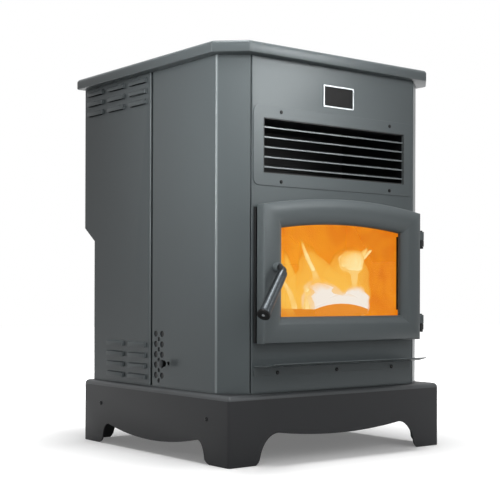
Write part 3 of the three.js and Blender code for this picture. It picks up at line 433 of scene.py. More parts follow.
@dataclass(frozen=True)
class Bench:
    """A material in the making: its tree, its shader and each point's place on the object."""

    tree: Tree
    shader: bpy.types.Node
    place: Socket

    def hold(self, values: dict[str, object]) -> None:
        """Sets the shader's own sockets."""
        for socket, value in values.items():
            self.shader.inputs[socket].default_value = value

    def feed(self, output: Socket, socket: str) -> None:
        """Links an output to one of the shader's sockets."""
        self.tree.links.new(output, self.shader.inputs[socket])

    def cloud(self, size: float, detail: float = 2.0, **inputs: float) -> Socket:
        """Makes noise.

        Args:
            size: the size of its largest features, in millimetres.
            detail: how much finer its finest features are.
            inputs: its other inputs.

        Returns:
            The noise, mostly between 0.3 and 0.7.
        """
        made = node(self.tree, "ShaderNodeTexNoise",
                    {"Vector": self.place, "Scale": 1 / (size * MM), "Detail": detail, **inputs})
        return made.outputs["Fac"]

    def cells(self, size: float) -> bpy.types.NodeOutputs:
        """Makes cells of a size in millimetres, each with its own colour."""
        inputs = {"Vector": self.place, "Scale": 1 / (size * MM)}
        return node(self.tree, "ShaderNodeTexVoronoi", inputs).outputs

    def blend(self, share: Socket, low: Sequence[float], high: Sequence[float]) -> Socket:
        """Makes a colour that runs from low to high with a share."""
        inputs = {"Factor": share, "A": low, "B": high}
        return node(self.tree, "ShaderNodeMix", inputs, data_type="RGBA").outputs["Result"]

    def reckon(self, operation: str, *values: float | Socket, clamp: bool = False) -> Socket:
        """Reckons with numbers and outputs."""
        inputs = dict(enumerate(values))
        made = node(self.tree, "ShaderNodeMath", inputs, operation=operation, use_clamp=clamp)
        return made.outputs["Value"]

    def spread(self, value: Socket, taken: Pair, given: Pair, **settings: str) -> Socket:
        """Stretches a range of values.

        Args:
            value: what is stretched.
            taken: the ends of the range that it has.
            given: the ends of the range that it gets.
            settings: the node's own settings.

        Returns:
            The stretched value.
        """
        ends = dict(zip(("From Min", "From Max", "To Min", "To Max"), (*taken, *given)))
        return node(self.tree, "ShaderNodeMapRange", {"Value": value, **ends}, **settings).outputs["Result"]

    def relief(self, height: Socket, depth: float, strength: float = 1.0) -> None:
        """Raises the surface by a height that stands for a depth in millimetres."""
        inputs = {"Height": height, "Distance": depth * MM, "Strength": strength}
        self.feed(node(self.tree, "ShaderNodeBump", inputs).outputs["Normal"], "Normal")


@dataclass(frozen=True)
class Finish:
    """A surface: what it is made of, its colour and how it shines."""

    name: str
    slot: str
    colour: str
    roughness: float
    metallic: float = 0.0
    gloss: float = 0.35

    def material(self) -> bpy.types.Material:
        """Makes the material, or finds it where it was made before.

        Returns:
            The material.
        """
        made = bpy.data.materials.get(self.name)
        if made is None:
            made = bpy.data.materials.new(self.name)
            made.use_nodes = True
            tree = made.node_tree
            place = node(tree, "ShaderNodeTexCoord").outputs["Object"]
            bench = Bench(tree, tree.nodes["Principled BSDF"], place)
            bench.hold({"Base Color": linear(self.colour), "Roughness": self.roughness,
                        "Metallic": self.metallic, "Specular IOR Level": self.gloss})
            self.work(bench)
        return made

    def work(self, bench: Bench) -> None:
        """Adds what sets this finish apart from a plain one."""

    def shaded(self, factor: float) -> Sequence[float]:
        """The finish's colour, darker or lighter by a factor."""
        return (*(min(part * factor, 1.0) for part in linear(self.colour)[:3]), 1.0)

    def mottle(self, bench: Bench, size: float, colour_swing: float, roughness_swing: float) -> None:
        """Lets the colour and the roughness wander a little.

        Args:
            bench: the material.
            size: the size of the patches, in millimetres.
            colour_swing: the share by which the colour varies.
            roughness_swing: what the roughness gains and loses.
        """
        patches = bench.cloud(size, detail=4.0)
        tint = bench.blend(patches, self.shaded(1 - colour_swing), self.shaded(1 + colour_swing))
        bench.feed(tint, "Base Color")
        swing = (self.roughness - roughness_swing, self.roughness + roughness_swing)
        bench.feed(bench.spread(patches, (0.3, 0.7), swing), "Roughness")


@dataclass(frozen=True)
class BakedPaint(Finish):
    """High-temperature silicone paint, sprayed on steel and baked: satin, faintly metallic.

    The sprayed film has an orange peel of about a millimetre, drawn at three so that it shows.
    """

    peel: float = 3.0
    film: float = 0.03

    def work(self, bench: Bench) -> None:
        """Adds the orange peel and the drift of a hand-sprayed coat."""
        self.mottle(bench, size=260.0, colour_swing=0.05, roughness_swing=0.03)
        bench.relief(bench.cloud(self.peel), self.film)


@dataclass(frozen=True)
class PaintedCasting(Finish):
    """Grey iron cast in fine sand and painted: the sand's grain stays under the coat."""

    grain: float = 2.4
    pits: float = 0.12

    def work(self, bench: Bench) -> None:
        """Adds the grain of the sand mould and slow waves from the pattern."""
        self.mottle(bench, size=90.0, colour_swing=0.06, roughness_swing=0.05)
        bench.relief(bench.cloud(self.grain, detail=5.0, Roughness=0.6), self.pits, strength=0.6)


@dataclass(frozen=True)
class RolledSteel(Finish):
    """Cold-rolled or turned steel with fine lines along its run, which stretch its highlights."""

    line: float = 1.2
    run: float = 60.0
    scratch: float = 0.01
    brighter: float = 0.07
    duller: float = 0.09

    def work(self, bench: Bench) -> None:
        """Adds the drawn-out lines.

        Args:
            bench: the material.
        """
        along = (1 / (self.run * MM), 1 / (self.line * MM), 1 / (self.line * MM))
        stretched = node(bench.tree, "ShaderNodeMapping", {"Vector": bench.place, "Scale": along})
        lines = node(bench.tree, "ShaderNodeTexNoise",
                     {"Vector": stretched.outputs["Vector"], "Scale": 1.0, "Detail": 3.0}).outputs["Fac"]
        swing = (self.roughness - self.brighter, self.roughness + self.duller)
        bench.feed(bench.spread(lines, (0.3, 0.7), swing), "Roughness")
        bench.relief(lines, self.scratch)


@dataclass(frozen=True)
class Spangle(Finish):
    """Hot-dip galvanised sheet: zinc frozen in flat crystals about 9 mm across."""

    crystal: float = 9.0
    darkest: float = 0.75
    roughness_swing: float = 0.1

    def work(self, bench: Bench) -> None:
        """Gives each crystal its own shade and its own shine.

        Args:
            bench: the material.
        """
        cells = bench.cells(self.crystal)
        chance = node(bench.tree, "ShaderNodeSeparateColor", {"Color": cells["Color"]}).outputs
        bench.feed(bench.blend(chance["Red"], self.shaded(self.darkest), linear(self.colour)), "Base Color")
        swing = (self.roughness - self.roughness_swing, self.roughness + self.roughness_swing)
        bench.feed(bench.spread(chance["Green"], (0.0, 1.0), swing), "Roughness")


@dataclass(frozen=True)
class BurntIron(Finish):
    """Cast iron or char that has stood in the fire: scaled, rough and brown, glowing a little."""

    glow: str = "#c8701c"
    glow_strength: float = 0.45

    def work(self, bench: Bench) -> None:
        """Adds the scale and the glow."""
        self.mottle(bench, size=18.0, colour_swing=0.35, roughness_swing=0.1)
        bench.relief(bench.cloud(3.5, detail=6.0), 0.5)
        bench.hold({"Emission Color": linear(self.glow), "Emission Strength": self.glow_strength})


@dataclass(frozen=True)
class FirelitBoard(Finish):
    """Vermiculite board that lines the firebox: pale and matt, with the fire's light painted on as an orange
    glow of its own.

    The painted light falls off with the distance from the fire's heart, so the far corners are darker:
    painted shade.
    """

    near: str = "#ffb02a"
    far: str = "#e07405"
    heart: Triple = (70.0, -150.0, 440.0)
    brightest: float = 160.0  # the distance from the heart within which the light is full
    darkest: float = 530.0
    streak: float = 120.0
    sway: float = 420.0  # how far the streaks push the light about
    strength: float = 0.95
    flake: float = 4.0

    def work(self, bench: Bench) -> None:
        """Adds the painted firelight and the pressed board's flakes.

        Args:
            bench: the material.
        """
        centre = TO_FRAME @ Vector(self.heart)
        away = node(bench.tree, "ShaderNodeVectorMath", {0: bench.place, 1: centre}, operation="DISTANCE")
        streaks = bench.cloud(self.streak, detail=4.0, Distortion=2.2)
        stirred = bench.reckon("MULTIPLY_ADD", streaks, self.sway * MM, away.outputs["Value"])
        fade = bench.spread(stirred, (self.brightest * MM, self.darkest * MM), (0.0, 1.0))
        bench.feed(bench.blend(fade, linear(self.near), linear(self.far)), "Emission Color")
        bench.hold({"Emission Strength": self.strength})
        bench.relief(bench.cells(self.flake)["Distance"], 0.4)


@dataclass(frozen=True)
class CeramicGlass(Finish):
    """Clear ceramic glass, polished and faintly amber: the fire shows through it."""

    def work(self, bench: Bench) -> None:
        """Makes it clear, a thin pane that hardly bends what is behind it."""
        bench.hold({"Transmission Weight": 1.0, "IOR": 1.12})
        self.mottle(bench, size=120.0, colour_swing=0.02, roughness_swing=0.01)


@dataclass(frozen=True)
class BraidedRope(Finish):
    """Knitted glass-fibre rope, blackened: a braid with a stitch every 5 mm."""

    stitch: float = 5.0
    lean: float = 0.8
    valley: str = "#0d0d0d"
    crest: str = "#5a5a58"
    depth: float = 0.8

    def work(self, bench: Bench) -> None:
        """Adds the stitches as two crossing waves, so that they lean both ways round the rope.

        Args:
            bench: the material.
        """
        waves = []
        for lean in (self.lean, -self.lean):
            inputs = {"Vector": bench.place, "Rotation": (lean, lean, lean)}
            turned = node(bench.tree, "ShaderNodeMapping", inputs).outputs["Vector"]
            inputs = {"Vector": turned, "Scale": 0.31 / (self.stitch * MM)}
            waves.append(node(bench.tree, "ShaderNodeTexWave", inputs).outputs["Fac"])
        height = bench.reckon("MAXIMUM", *waves)
        # Colour from the stitches' height: painted shade in the valleys and a painted highlight on the
        # crests.
        bench.feed(bench.blend(height, linear(self.valley), linear(self.crest)), "Base Color")
        bench.relief(height, self.depth)


@dataclass(frozen=True)
class MouldedPlastic(Finish):
    """Glass-filled nylon, moulded against a spark-eroded tool: a fine even grain."""

    grain: float = 1.5

    def work(self, bench: Bench) -> None:
        """Adds the tool's grain."""
        self.mottle(bench, size=30.0, colour_swing=0.08, roughness_swing=0.04)
        bench.relief(bench.cloud(self.grain), 0.04)


@dataclass(frozen=True)
class Wood(Finish):
    """Pressed sawdust pellets, shiny outside from the die, each its own shade."""

    def work(self, bench: Bench) -> None:
        """Varies the shade from pellet to pellet and adds their cracks."""
        self.mottle(bench, size=11.0, colour_swing=0.45, roughness_swing=0.08)
        bench.relief(bench.cloud(2.0, detail=3.0), 0.3)


@dataclass(frozen=True)
class Flame(Finish):
    """Burning wood gas: it only gives light, white at its root and orange where it thins out.

    Its heat falls with the height over the floor, from 1 at root to 0 at tip, in millimetres. The
    wisps stir it, and its outline, where the sheet of gas is thinnest, is cooler than its middle.
    """

    strength: float = 1.0
    opacity: float = 1.0
    root: float = 350.0
    tip: float = 600.0
    rim: float = 0.1
    hottest: str = "#f4f4f6"
    shades: tuple[tuple[float, str], ...] = ((0.25, "#f39a26"), (0.5, "#ffc450"))
    coolest: str = "#e0780e"
    wisp: float = 38.0
    wisp_heat: float = 0.6
    middle_heat: float = 0.35
    loss: float = 0.48

    def work(self, bench: Bench) -> None:
        """Turns the heat into colour and opacity.

        Args:
            bench: the material.
        """
        tree = bench.tree
        height = node(tree, "ShaderNodeSeparateXYZ", {"Vector": bench.place}).outputs["Z"]
        heat = bench.spread(height, (self.tip * MM, self.root * MM), (0.0, 1.0))
        wisps = bench.cloud(self.wisp, detail=3.0, Distortion=1.4)
        across = node(tree, "ShaderNodeSeparateXYZ", {"Vector": node(tree, "ShaderNodeUVMap").outputs["UV"]})
        inward = bench.reckon("MULTIPLY", across.outputs["X"], across.outputs["Y"])
        soft = bench.spread(inward, (self.rim, 1.0), (0.0, 1.0), interpolation_type="SMOOTHERSTEP")
        warmed = bench.reckon("MULTIPLY_ADD", soft, self.middle_heat, heat)
        stirred = bench.reckon("MULTIPLY_ADD", wisps, self.wisp_heat, warmed)
        level = bench.reckon("SUBTRACT", stirred, self.loss)
        ramp = node(tree, "ShaderNodeValToRGB", {"Fac": level})
        stops = ramp.color_ramp.elements
        stops[0].position, stops[0].color = 0.0, linear(self.coolest)
        stops[1].position, stops[1].color = 1.0, linear(self.hottest)
        for position, code in self.shades:
            stops.new(position).color = linear(code)
        bench.feed(ramp.outputs["Color"], "Emission Color")
        bench.hold({"Emission Strength": self.strength, "Specular IOR Level": 0.0})
        veil = bench.spread(level, (-0.1, 0.3), (0.0, self.opacity))
        bench.feed(bench.reckon("MULTIPLY", veil, soft, clamp=True), "Alpha")


# Sheet-steel panels: the satin charcoal coat is what the whole stove is known by.
CABINET_PAINT = BakedPaint("Baked charcoal stove paint", "charcoal_paint", "#5c6365", 0.36, 0.08, 0.2)
# Painted highlight: a paler, shinier paint on each fold, on the louvres' front ends, on the vent grille's
# lips and on a strip inside the grille, standing in for the light line that these edges catch.
EDGE_HIGHLIGHT_PAINT = BakedPaint("Stove paint with a painted edge highlight", "charcoal_paint", "#7c8385", 0.34, 0.15, 0.3)
# Painted highlight on the skirt's rolled top edge: a paler paint draws one soft light line round the base.
SKIRT_HIGHLIGHT_PAINT = BakedPaint("Dark skirt paint with a painted highlight on its roll", "skirt_paint", "#55585a", 0.4, 0.1, 0.3)
# The skirt: nearly black and duller, so that the cabinet seems to stand on a plinth.
SKIRT_PAINT = BakedPaint("Baked dark charcoal stove paint", "skirt_paint", "#37383a", 0.46, 0.05, 0.2)
# The fire door: the panels' grey with a rougher, heavier look.
DOOR_CASTING = PaintedCasting("Charcoal painted iron casting", "door_casting", "#5e6567", 0.4, 0.08, 0.22)
# Brackets and screens: plain black. The same black is painted shade on the strips in the side seams, on the
# vent's grille and on the parts behind the vent, in place of the dark inside them.
BLACK_FINISH_AND_SHADE = BakedPaint("Baked black stove paint, also as painted shade", "black_steel", "#161718", 0.5, 0.1)
# The door handle's grip: dark and bright at once, with one long highlight.
TURNED_STEEL = RolledSteel("Gunmetal turned steel", "bare_steel", "#3b3f42", 0.3, 0.8)
# Unpainted steel out of sight of the room: pipes, pins and the cap's screw.
BARE_STEEL = RolledSteel("Cold-rolled mild steel", "bare_steel", "#8d9194", 0.38, 1.0)
# Ducts and blower housings inside: a pale patchwork of crystals.
ZINC = Spangle("Galvanised sheet", "galvanised_steel", "#a9adb0", 0.42, 0.9)
# The burn pot: a warm brown rim; its orange glow is painted firelight.
POT_IRON = BurntIron("Fire-scaled cast iron", "burn_pot_iron", "#4a2a18", 0.85, 0.0, 0.1,
                     glow="#e8952e", glow_strength=0.9)
# The bed of the fire: embers, brighter than the pot.
EMBERS = BurntIron("Glowing pellets", "burn_pot_iron", "#7a3a12", 0.9, 0.0, 0.3,
                   glow="#ff9a2e", glow_strength=1.2)
# The firebox lining: the orange field that fills the window behind the flames, painted firelight that glows
# by itself.
BOARD = FirelitBoard("Vermiculite board in firelight", "black_steel", "#1c120a", 0.95)
# The window's pane: hardly there, apart from a reflection.
FIRE_GLASS = CeramicGlass("Polished ceramic glass", "ceramic_glass", "#fff4e6", 0.02)
# The rope behind the door: a black line with a knitted edge.
ROPE = BraidedRope("Knitted glass-fibre rope", "gasket_rope", "#161616", 0.95)
# Knobs, caps and the control panel: deep black, a soft sheen.
BLACK_NYLON = MouldedPlastic("Black glass-filled nylon", "black_plastic", "#060606", 0.45, 0.0, 0.12)
# The push buttons: light grey, so that they stand out from their panel.
GREY_NYLON = MouldedPlastic("Grey moulded keycap", "button_plastic", "#9a9ea1", 0.4)
# The badge's rim: a thin pale frame.
BADGE_METAL = RolledSteel("Satin anodised aluminium", "badge_metal", "#a3a8aa", 0.35, 0.85)
# The badge's field and the display's window: flat black.
BADGE_FIELD = MouldedPlastic("Black baked enamel", "badge_metal", "#060707", 0.45, 0.0, 0.12)
# Screw heads and hinge bolts: dark metal with small glints.
SCREW_BLACK = BakedPaint("Black oxide screw steel", "screw_steel", "#1b1c1d", 0.38, 0.6)
# The disc on the damper's knob: one step lighter than the knob.
KNOB_NYLON = MouldedPlastic("Dark grey moulded pull knob", "black_plastic", "#34373a", 0.5, 0.0, 0.2)
# The fuel in the hopper: light brown, each pellet a shade of its own.
PELLET_WOOD = Wood("Pressed wood pellets", "black_steel", "#a9784a", 0.55)
# The fire's heart over the pot: white and nearly solid.
CORE_FLAME = Flame("White heart of the flame", "black_steel", "#000000", 1.0, 0.0, 0.0,
                   strength=1.0, opacity=1.15, root=392.0, tip=478.0)
# The tongues that leap out of it: thin, pale yellow.
TONGUE_FLAME = Flame("Yellow flame", "black_steel", "#000000", 1.0, 0.0, 0.0,
                     strength=1.0, opacity=1.5, root=420.0, tip=700.0, rim=0.05, hottest="#ffefb4")
# The sheets of gas round them: a see-through golden glow.
VEIL_FLAME = Flame("Orange flame veil", "black_steel", "#000000", 1.0, 0.0, 0.0,
                   strength=0.96, opacity=0.62, root=330.0, tip=600.0, rim=0.0, hottest="#ffcc5c")

SLOT_FINISHES = {finish.slot: finish for finish in (
    CABINET_PAINT, SKIRT_PAINT, DOOR_CASTING, BLACK_FINISH_AND_SHADE, BARE_STEEL, ZINC, POT_IRON, FIRE_GLASS, ROPE,
    BLACK_NYLON, BADGE_METAL, GREY_NYLON, SCREW_BLACK)}


def dress_frame() -> None:
    """Gives every node that stays in the scene the finish of its slot."""
    for entry in frame["record"]["subparts"]:
        mesh = frame["nodes"][entry["node"]].data
        mesh.materials.clear()
        mesh.materials.append(SLOT_FINISHES[entry["material_slot"]].material())


# ------------------------------------------------------------------ fastenings


@dataclass(frozen=True)
class Screw:
    """A pan-head screw with a cross recess."""

    head: float = 4.5
    proud: float = 2.0
    shank: float = 2.0
    depth: float = 3.0

    def mesh(self, seat: Vector, out: Vector) -> Solid:
        """Makes the screw.

        Args:
            seat: where its head's underside sits.
            out: where its head points.

        Returns:
            The screw with its recess cut.
        """
        r, h = self.head, self.proud
        profile = [(self.shank, -self.depth), (self.shank, 0.0), (r, 0.0), (r, h * 0.35),
                   (r * 0.94, h * 0.62), (r * 0.78, h * 0.85), (r * 0.5, h * 0.97), (r * 0.1, h)]
        arm, half, floor = r * 0.62, r * 0.11, h * 0.45
        recess = merge(block(-arm, arm, -half, half, floor, h + PAST),
                       block(-half, half, half + 0.01, arm, floor, h + PAST),
                       block(-half, half, -arm, -half - 0.01, floor, h + PAST))
        recess.transform(standing(seat, out))
        return cut(lathe(profile, seat, out, 24), recess)


# ------------------------------------------------------------------ pedestal


@dataclass(frozen=True)
class Apron:
    """The opening under one wall of the skirt, symmetrical about the wall's middle.

    Attributes:
        cusp: how far from the middle each hollow begins.
        cusp_height: the height of the cusp.
        middle: the height of the hanging curve at the middle.
        hollow: the width of the hollow beside a foot.
        toe: where the rounded toe of the foot meets the floor.
    """

    cusp: float
    cusp_height: float
    middle: float
    hollow: float
    toe: float
    toe_angle: float = 14.0
    toe_bulge: float = 2.5
    toe_steps: int = 6
    hollow_steps: int = 10
    hanging_steps: int = 12

    def outline(self) -> list[Point]:
        """Draws the toe, the hollow and the hanging curve, and mirrors them.

        Returns:
            The outline.
        """
        right: list[Point] = []
        first = math.radians(self.toe_angle)
        top = Vector((self.cusp + self.hollow * math.cos(first), self.cusp_height * math.sin(first)))
        low = Vector((self.toe, -PAST))
        pull = Vector((top.x + self.toe_bulge, top.y * 0.3))
        for step in range(self.toe_steps):
            share = step / self.toe_steps
            point = low.lerp(pull, share).lerp(pull.lerp(top, share), share)
            right.append((point.x, point.y))
        for step in range(self.hollow_steps):
            angle = first + (math.pi / 2 - first) * step / (self.hollow_steps - 1)
            right.append((self.cusp + self.hollow * math.cos(angle), self.cusp_height * math.sin(angle)))
        for step in range(1, self.hanging_steps):
            along = 1 - step / self.hanging_steps
            right.append((self.cusp * along, self.middle + (self.cusp_height - self.middle) * along * along))
        return [*right, (0.0, self.middle), *[(-u, v) for u, v in reversed(right)]]


@dataclass
class Pedestal:
    """The skirt that carries the stove: four walls with aprons between the feet."""

    half_width: float = 348.0
    half_depth: float = 330.0
    height: float = 165.0
    wall: float = 4.0
    top_radius: float = 12.0
    roll_steps: int = 6
    corner: float = 8.0
    least_corner: float = 0.8
    flange: float = 70.0
    screw_y: float = 242.0
    screw_z: float = 106.0
    front_apron: Apron = Apron(cusp=200.0, cusp_height=72.0, middle=58.0, hollow=57.0, toe=270.0)
    side_apron: Apron = Apron(cusp=205.0, cusp_height=54.0, middle=32.0, hollow=29.0, toe=256.0)

    def ring(self, inset: float, z: float) -> list[Vector]:
        """The skirt's plan, drawn in by an inset, at one height."""
        x, y = self.half_width - inset, self.half_depth - inset
        corner = max(self.corner - inset, self.least_corner)
        return [Vector((u, v, z)) for u, v in rectangle(-x, x, -y, y, corner)]

    @staticmethod
    def on_the_roll(face: bmesh.types.BMFace) -> bool:
        """Is true on the rolled top edge."""
        return 0.1 < face.normal.z < 0.98

    def skirt(self) -> Solid:
        """Rolls the shell's section round the plan and cuts the aprons.

        Returns:
            The skirt.
        """
        under = self.height - self.wall
        loops = [self.ring(0.0, 0.0)]
        loops += [self.ring(inset, z) for inset, z in rolled(self.top_radius, self.height, self.roll_steps)]
        loops += [self.ring(self.flange, self.height), self.ring(self.flange, under),
                  self.ring(self.wall, under), self.ring(self.wall, 0.0)]
        deep, wide = self.half_depth + PAST, self.half_width + PAST
        front = prism(self.front_apron.outline(), Axis.Y, -deep, deep)
        side = prism(self.side_apron.outline(), Axis.X, -wide, wide)
        return cut(cut(loft(loops, around=True), front), side)

    def build(self) -> None:
        """Makes the skirt and its four screws."""
        # The rolled top edge gets the paler paint: a painted highlight.
        shaped("pedestal_skirt_shell", "stove_body", self.skirt(), SKIRT_PAINT, 0.8, ["pedestal_skirt"],
               painted_highlight=(SKIRT_HIGHLIGHT_PAINT, self.on_the_roll))
        screw = Screw(head=5.5, proud=2.4, shank=2.5, depth=self.wall)
        for side, out in (("left", LEFT), ("right", RIGHT)):
            for end, y in (("front", -self.screw_y), ("rear", self.screw_y)):
                seat = Vector((out.x * (self.half_width + GAP), y, self.screw_z))
                name = f"pedestal_screw_{side}_{end}"
                shaped(f"{name}_head", "stove_body", screw.mesh(seat, out), SCREW_BLACK, stands_for=[name])


# ------------------------------------------------------------------ cabinet


@dataclass(frozen=True)
class LouvreField:
    """A block of pressed louvres on a side panel, named by its nearest, lowest one."""

    near: float
    bottom: float
    columns: int
    rows: int


@dataclass(frozen=True)
class Louvre:
    """One pressed louvre: a box-like hood, closed at its ends and open below."""

    width: float = 80.0
    height: float = 13.0
    proud: float = 7.0
    shoulder: float = 2.5
    skin: float = 1.3
    slot_height: float = 11.0
    end_radius: float = 2.6

    def hood(self) -> Solid:
        """Makes the hood at the origin, with its front to the left.

        Returns:
            The hollow hood.
        """
        proud, skin, height, shoulder = self.proud, self.skin, self.height, self.shoulder
        half, inside = self.width / 2, height - 1.5 * skin
        outer = [(0.4, 0.0), (0.4, height), (-0.6, height), (-proud * 0.45, height - shoulder * 0.45),
                 (-proud + 0.5, height - shoulder), (-proud, height - shoulder - 0.9), (-proud, 0.0)]
        inner = [(1.4, -PAST), (1.4, inside), (0.0, inside), (-proud + skin, inside - shoulder),
                 (-proud + skin, -PAST)]
        shell = prism(outer, Axis.Y, -half, half)
        ends = [edge for edge in shell.edges if max(vert.co.x for vert in edge.verts) < -0.5
                and abs(edge.verts[0].co.y - edge.verts[1].co.y) < GAP]
        bmesh.ops.bevel(shell, geom=ends, offset=self.end_radius, segments=4, profile=0.5, affect="EDGES",
                        clamp_overlap=True)
        return cut(shell, prism(inner, Axis.Y, -half + 2 * skin, half - 2 * skin))


@dataclass
class Cabinet:
    """The folded panels that close the stove in, its top plate and its rear sheet."""

    low: float = 167.6
    high: float = 959.7
    chamfer_x: float = 64.0
    chamfer_y: float = 52.0
    seam_front: float = 14.0
    seam_rear: float = 22.5
    flange: float = 16.0
    upper_rear: float = 354.0
    step_top: float = 579.0
    step_bottom: float = 542.0
    # The perforated patch repeats these holes: each one's y, its rise over its row and its radius.
    holes: tuple[Triple, ...] = ((-4.4, 0.0, 8.0), (-32.4, 0.0, 8.0), (-18.4, -13.0, 5.5))
    hole_rows: int = 5
    hole_top: float = 299.0
    hole_pitch: float = 26.0
    rod_hole: float = 5.0
    screen: Pair = (-46.0, 8.0)
    screen_top: float = 315.0
    strip_in: float = 11.0
    # The front's openings, for the fire and for the warm air.
    openings: tuple[Window, ...] = ((-248.0, 248.0, 295.0, 592.0), (-234.0, 234.0, 686.0, 816.0))
    louvre: Louvre = Louvre()
    louvre_across: float = 107.0
    louvre_up: float = 27.2
    fields: tuple[LouvreField, ...] = (LouvreField(80.5, 883.5, 3, 3), LouvreField(80.5, 181.0, 2, 4))
    top: float = 960.0
    top_surface: float = 988.0
    top_skin: float = 6.0
    top_roll: float = 9.0
    roll_steps: int = 7
    top_hollow: Window = (-310.0, 310.0, -240.0, 330.0)
    mouth: Window = (-215.0, 215.0, 20.0, 318.0)
    top_overhang: float = 24.0
    top_rear_overhang: float = 5.0
    top_corner_x: float = 64.0
    top_corner_y: float = 62.0
    lid_hinge: Pair = (343.0, 993.5)
    lid_lugs: tuple[float, ...] = (-171.0, -129.0, 129.0, 171.0)
    lug_length: float = 18.0
    screw_x: tuple[float, ...] = (-318.0, 0.0, 318.0)
    lower_screw_z: tuple[float, ...] = (182.0, 345.0, 508.0)
    upper_screw_z: tuple[float, ...] = (610.0, 770.0, 930.0)

    def front_side(self) -> Solid:
        """Folds the left front panel, side and chamfer in one sheet, and perforates it.

        Returns:
            The panel.
        """
        corner = SIDE - self.chamfer_x
        line = [(-SIDE + self.flange, self.seam_front), (-SIDE, self.seam_front),
                (-SIDE, FRONT + self.chamfer_y), (-corner, FRONT), (-corner, FRONT + self.flange)]
        holes = []
        for row in range(self.hole_rows):
            z = self.hole_top - self.hole_pitch * row
            for y, up, radius in self.holes:
                holes.append(rod(radius, SHEET + 3 * PAST, Vector((-SIDE - PAST, y, z + up)), RIGHT, 20))
        return cut(prism(folded(line, 4.5), Axis.Z, self.low, self.high), *holes)

    def rear_side(self) -> Solid:
        """Folds the left rear panel, steps it at the back and presses its louvres.

        Returns:
            The panel.
        """
        line = [(-SIDE, self.upper_rear), (-SIDE, self.seam_rear), (-SIDE + self.flange, self.seam_rear)]
        sheet = prism(folded(line, 3.2), Axis.Z, self.low, self.high)
        step = [(BACK, self.low - PAST), (BACK, self.step_bottom), (self.upper_rear, self.step_top),
                (self.upper_rear + PAST, self.step_top), (self.upper_rear + PAST, self.low - PAST)]
        slots, hoods, pressed = [], [], self.louvre.hood()
        half = self.louvre.width / 2 - self.louvre.skin
        outside, inside = -SIDE - PAST, -SIDE + SHEET + PAST
        for field in self.fields:
            for column in range(field.columns):
                for row in range(field.rows):
                    y, z = field.near + column * self.louvre_across, field.bottom + row * self.louvre_up
                    slots.append(block(outside, inside, y - half, y + half, z, z + self.louvre.slot_height))
                    hoods.append(pressed.copy())
                    hoods[-1].transform(Matrix.Translation((-SIDE, y, z)))
        pressed.free()
        sheet = cut(sheet, prism(step, Axis.X, outside, inside))
        return merge(cut(sheet, *slots), *hoods)

    def seam_shade_and_screen(self) -> Solid:
        """The black strip deep in the left seam, painted shade that darkens the seam's gap, and the screen
        behind the perforated patch.
        """
        deep, behind = -SIDE + self.strip_in, -SIDE + SHEET + GAP
        strip = block(deep, deep + SHEET, self.seam_front + GAP, self.seam_rear - GAP, self.low, self.high)
        return merge(strip, block(behind, behind + 1, *self.screen, self.low + 5, self.screen_top))

    def front_panel(self) -> Solid:
        """Folds the flat front between the chamfers and cuts the openings for the fire and the vent.

        Returns:
            The panel.
        """
        x = SIDE - self.chamfer_x - SHEET - GAP
        line = [(-x, FRONT + self.flange), (-x, FRONT), (x, FRONT), (x, FRONT + self.flange)]
        through = [block(x0, x1, FRONT - 5, FRONT + 5, z0, z1) for x0, x1, z0, z1 in self.openings]
        return cut(prism(folded(line, 2.4), Axis.Z, self.low, self.high), *through)

    def top_ring(self, inset: float, z: float) -> list[Vector]:
        """Draws the top plate's plan.

        Args:
            inset: how far it is drawn in.
            z: its height.

        Returns:
            The plan, with cut front corners.
        """
        x, y0 = SIDE + self.top_overhang, FRONT - self.top_overhang
        y1 = self.upper_rear + self.top_rear_overhang
        short = inset * 0.42
        left, right = -x + self.top_corner_x + short, x - self.top_corner_x - short
        start = y0 + self.top_corner_y + short
        corners = [(-x + inset, y1 - inset), (-x + inset, start), (left, y0 + inset), (right, y0 + inset),
                   (x - inset, start), (x - inset, y1 - inset)]
        return [Vector((u, v, z)) for u, v in rounded(corners, 3.0, steps=3)]

    def top_plate(self) -> Solid:
        """Makes the thick top with its rolled edge, its filling mouth and the lid's hinge lugs.

        Returns:
            The plate.
        """
        section = [(3.0, self.top), (0.8, self.top + 0.8), (0.0, self.top + 3.0),
                   *rolled(self.top_roll, self.top_surface, self.roll_steps)]
        loops = [self.top_ring(inset, z) for inset, z in section]
        hollow = block(*self.top_hollow, self.top - PAST, self.top_surface - self.top_skin)
        mouth = prism(rectangle(*self.mouth, 6.0), Axis.Z, self.top - PAST, self.top_surface + PAST)
        plate = cut(cut(loft(loops), hollow), mouth)
        lugs, half = [], self.lug_length / 2
        hinge_y, hinge_z = self.lid_hinge
        for x in self.lid_lugs:
            barrel = rod(5.0, self.lug_length, Vector((x - half, hinge_y, hinge_z)), RIGHT, 20)
            foot = block(x - half, x + half, hinge_y - 4.6, hinge_y + 4.6, self.top_surface - 0.5, hinge_z)
            lugs += [barrel, foot]
        return merge(plate, *lugs)

    @staticmethod
    def on_a_bend(face: bmesh.types.BMFace) -> bool:
        """Is true between a side and its chamfer."""
        return 0.66 < abs(face.normal.x) < 0.99 and face.normal.y < -0.1

    @staticmethod
    def on_an_end(face: bmesh.types.BMFace) -> bool:
        """Is true for the louvres' front ends and for the bend beside the seam."""
        facing = face.normal
        if abs(face.calc_center_median().x) > SIDE + GAP:
            return facing.y < -0.3 and abs(facing.z) < 0.5
        return 0.2 < abs(facing.x) < 0.97 and facing.y < -0.2

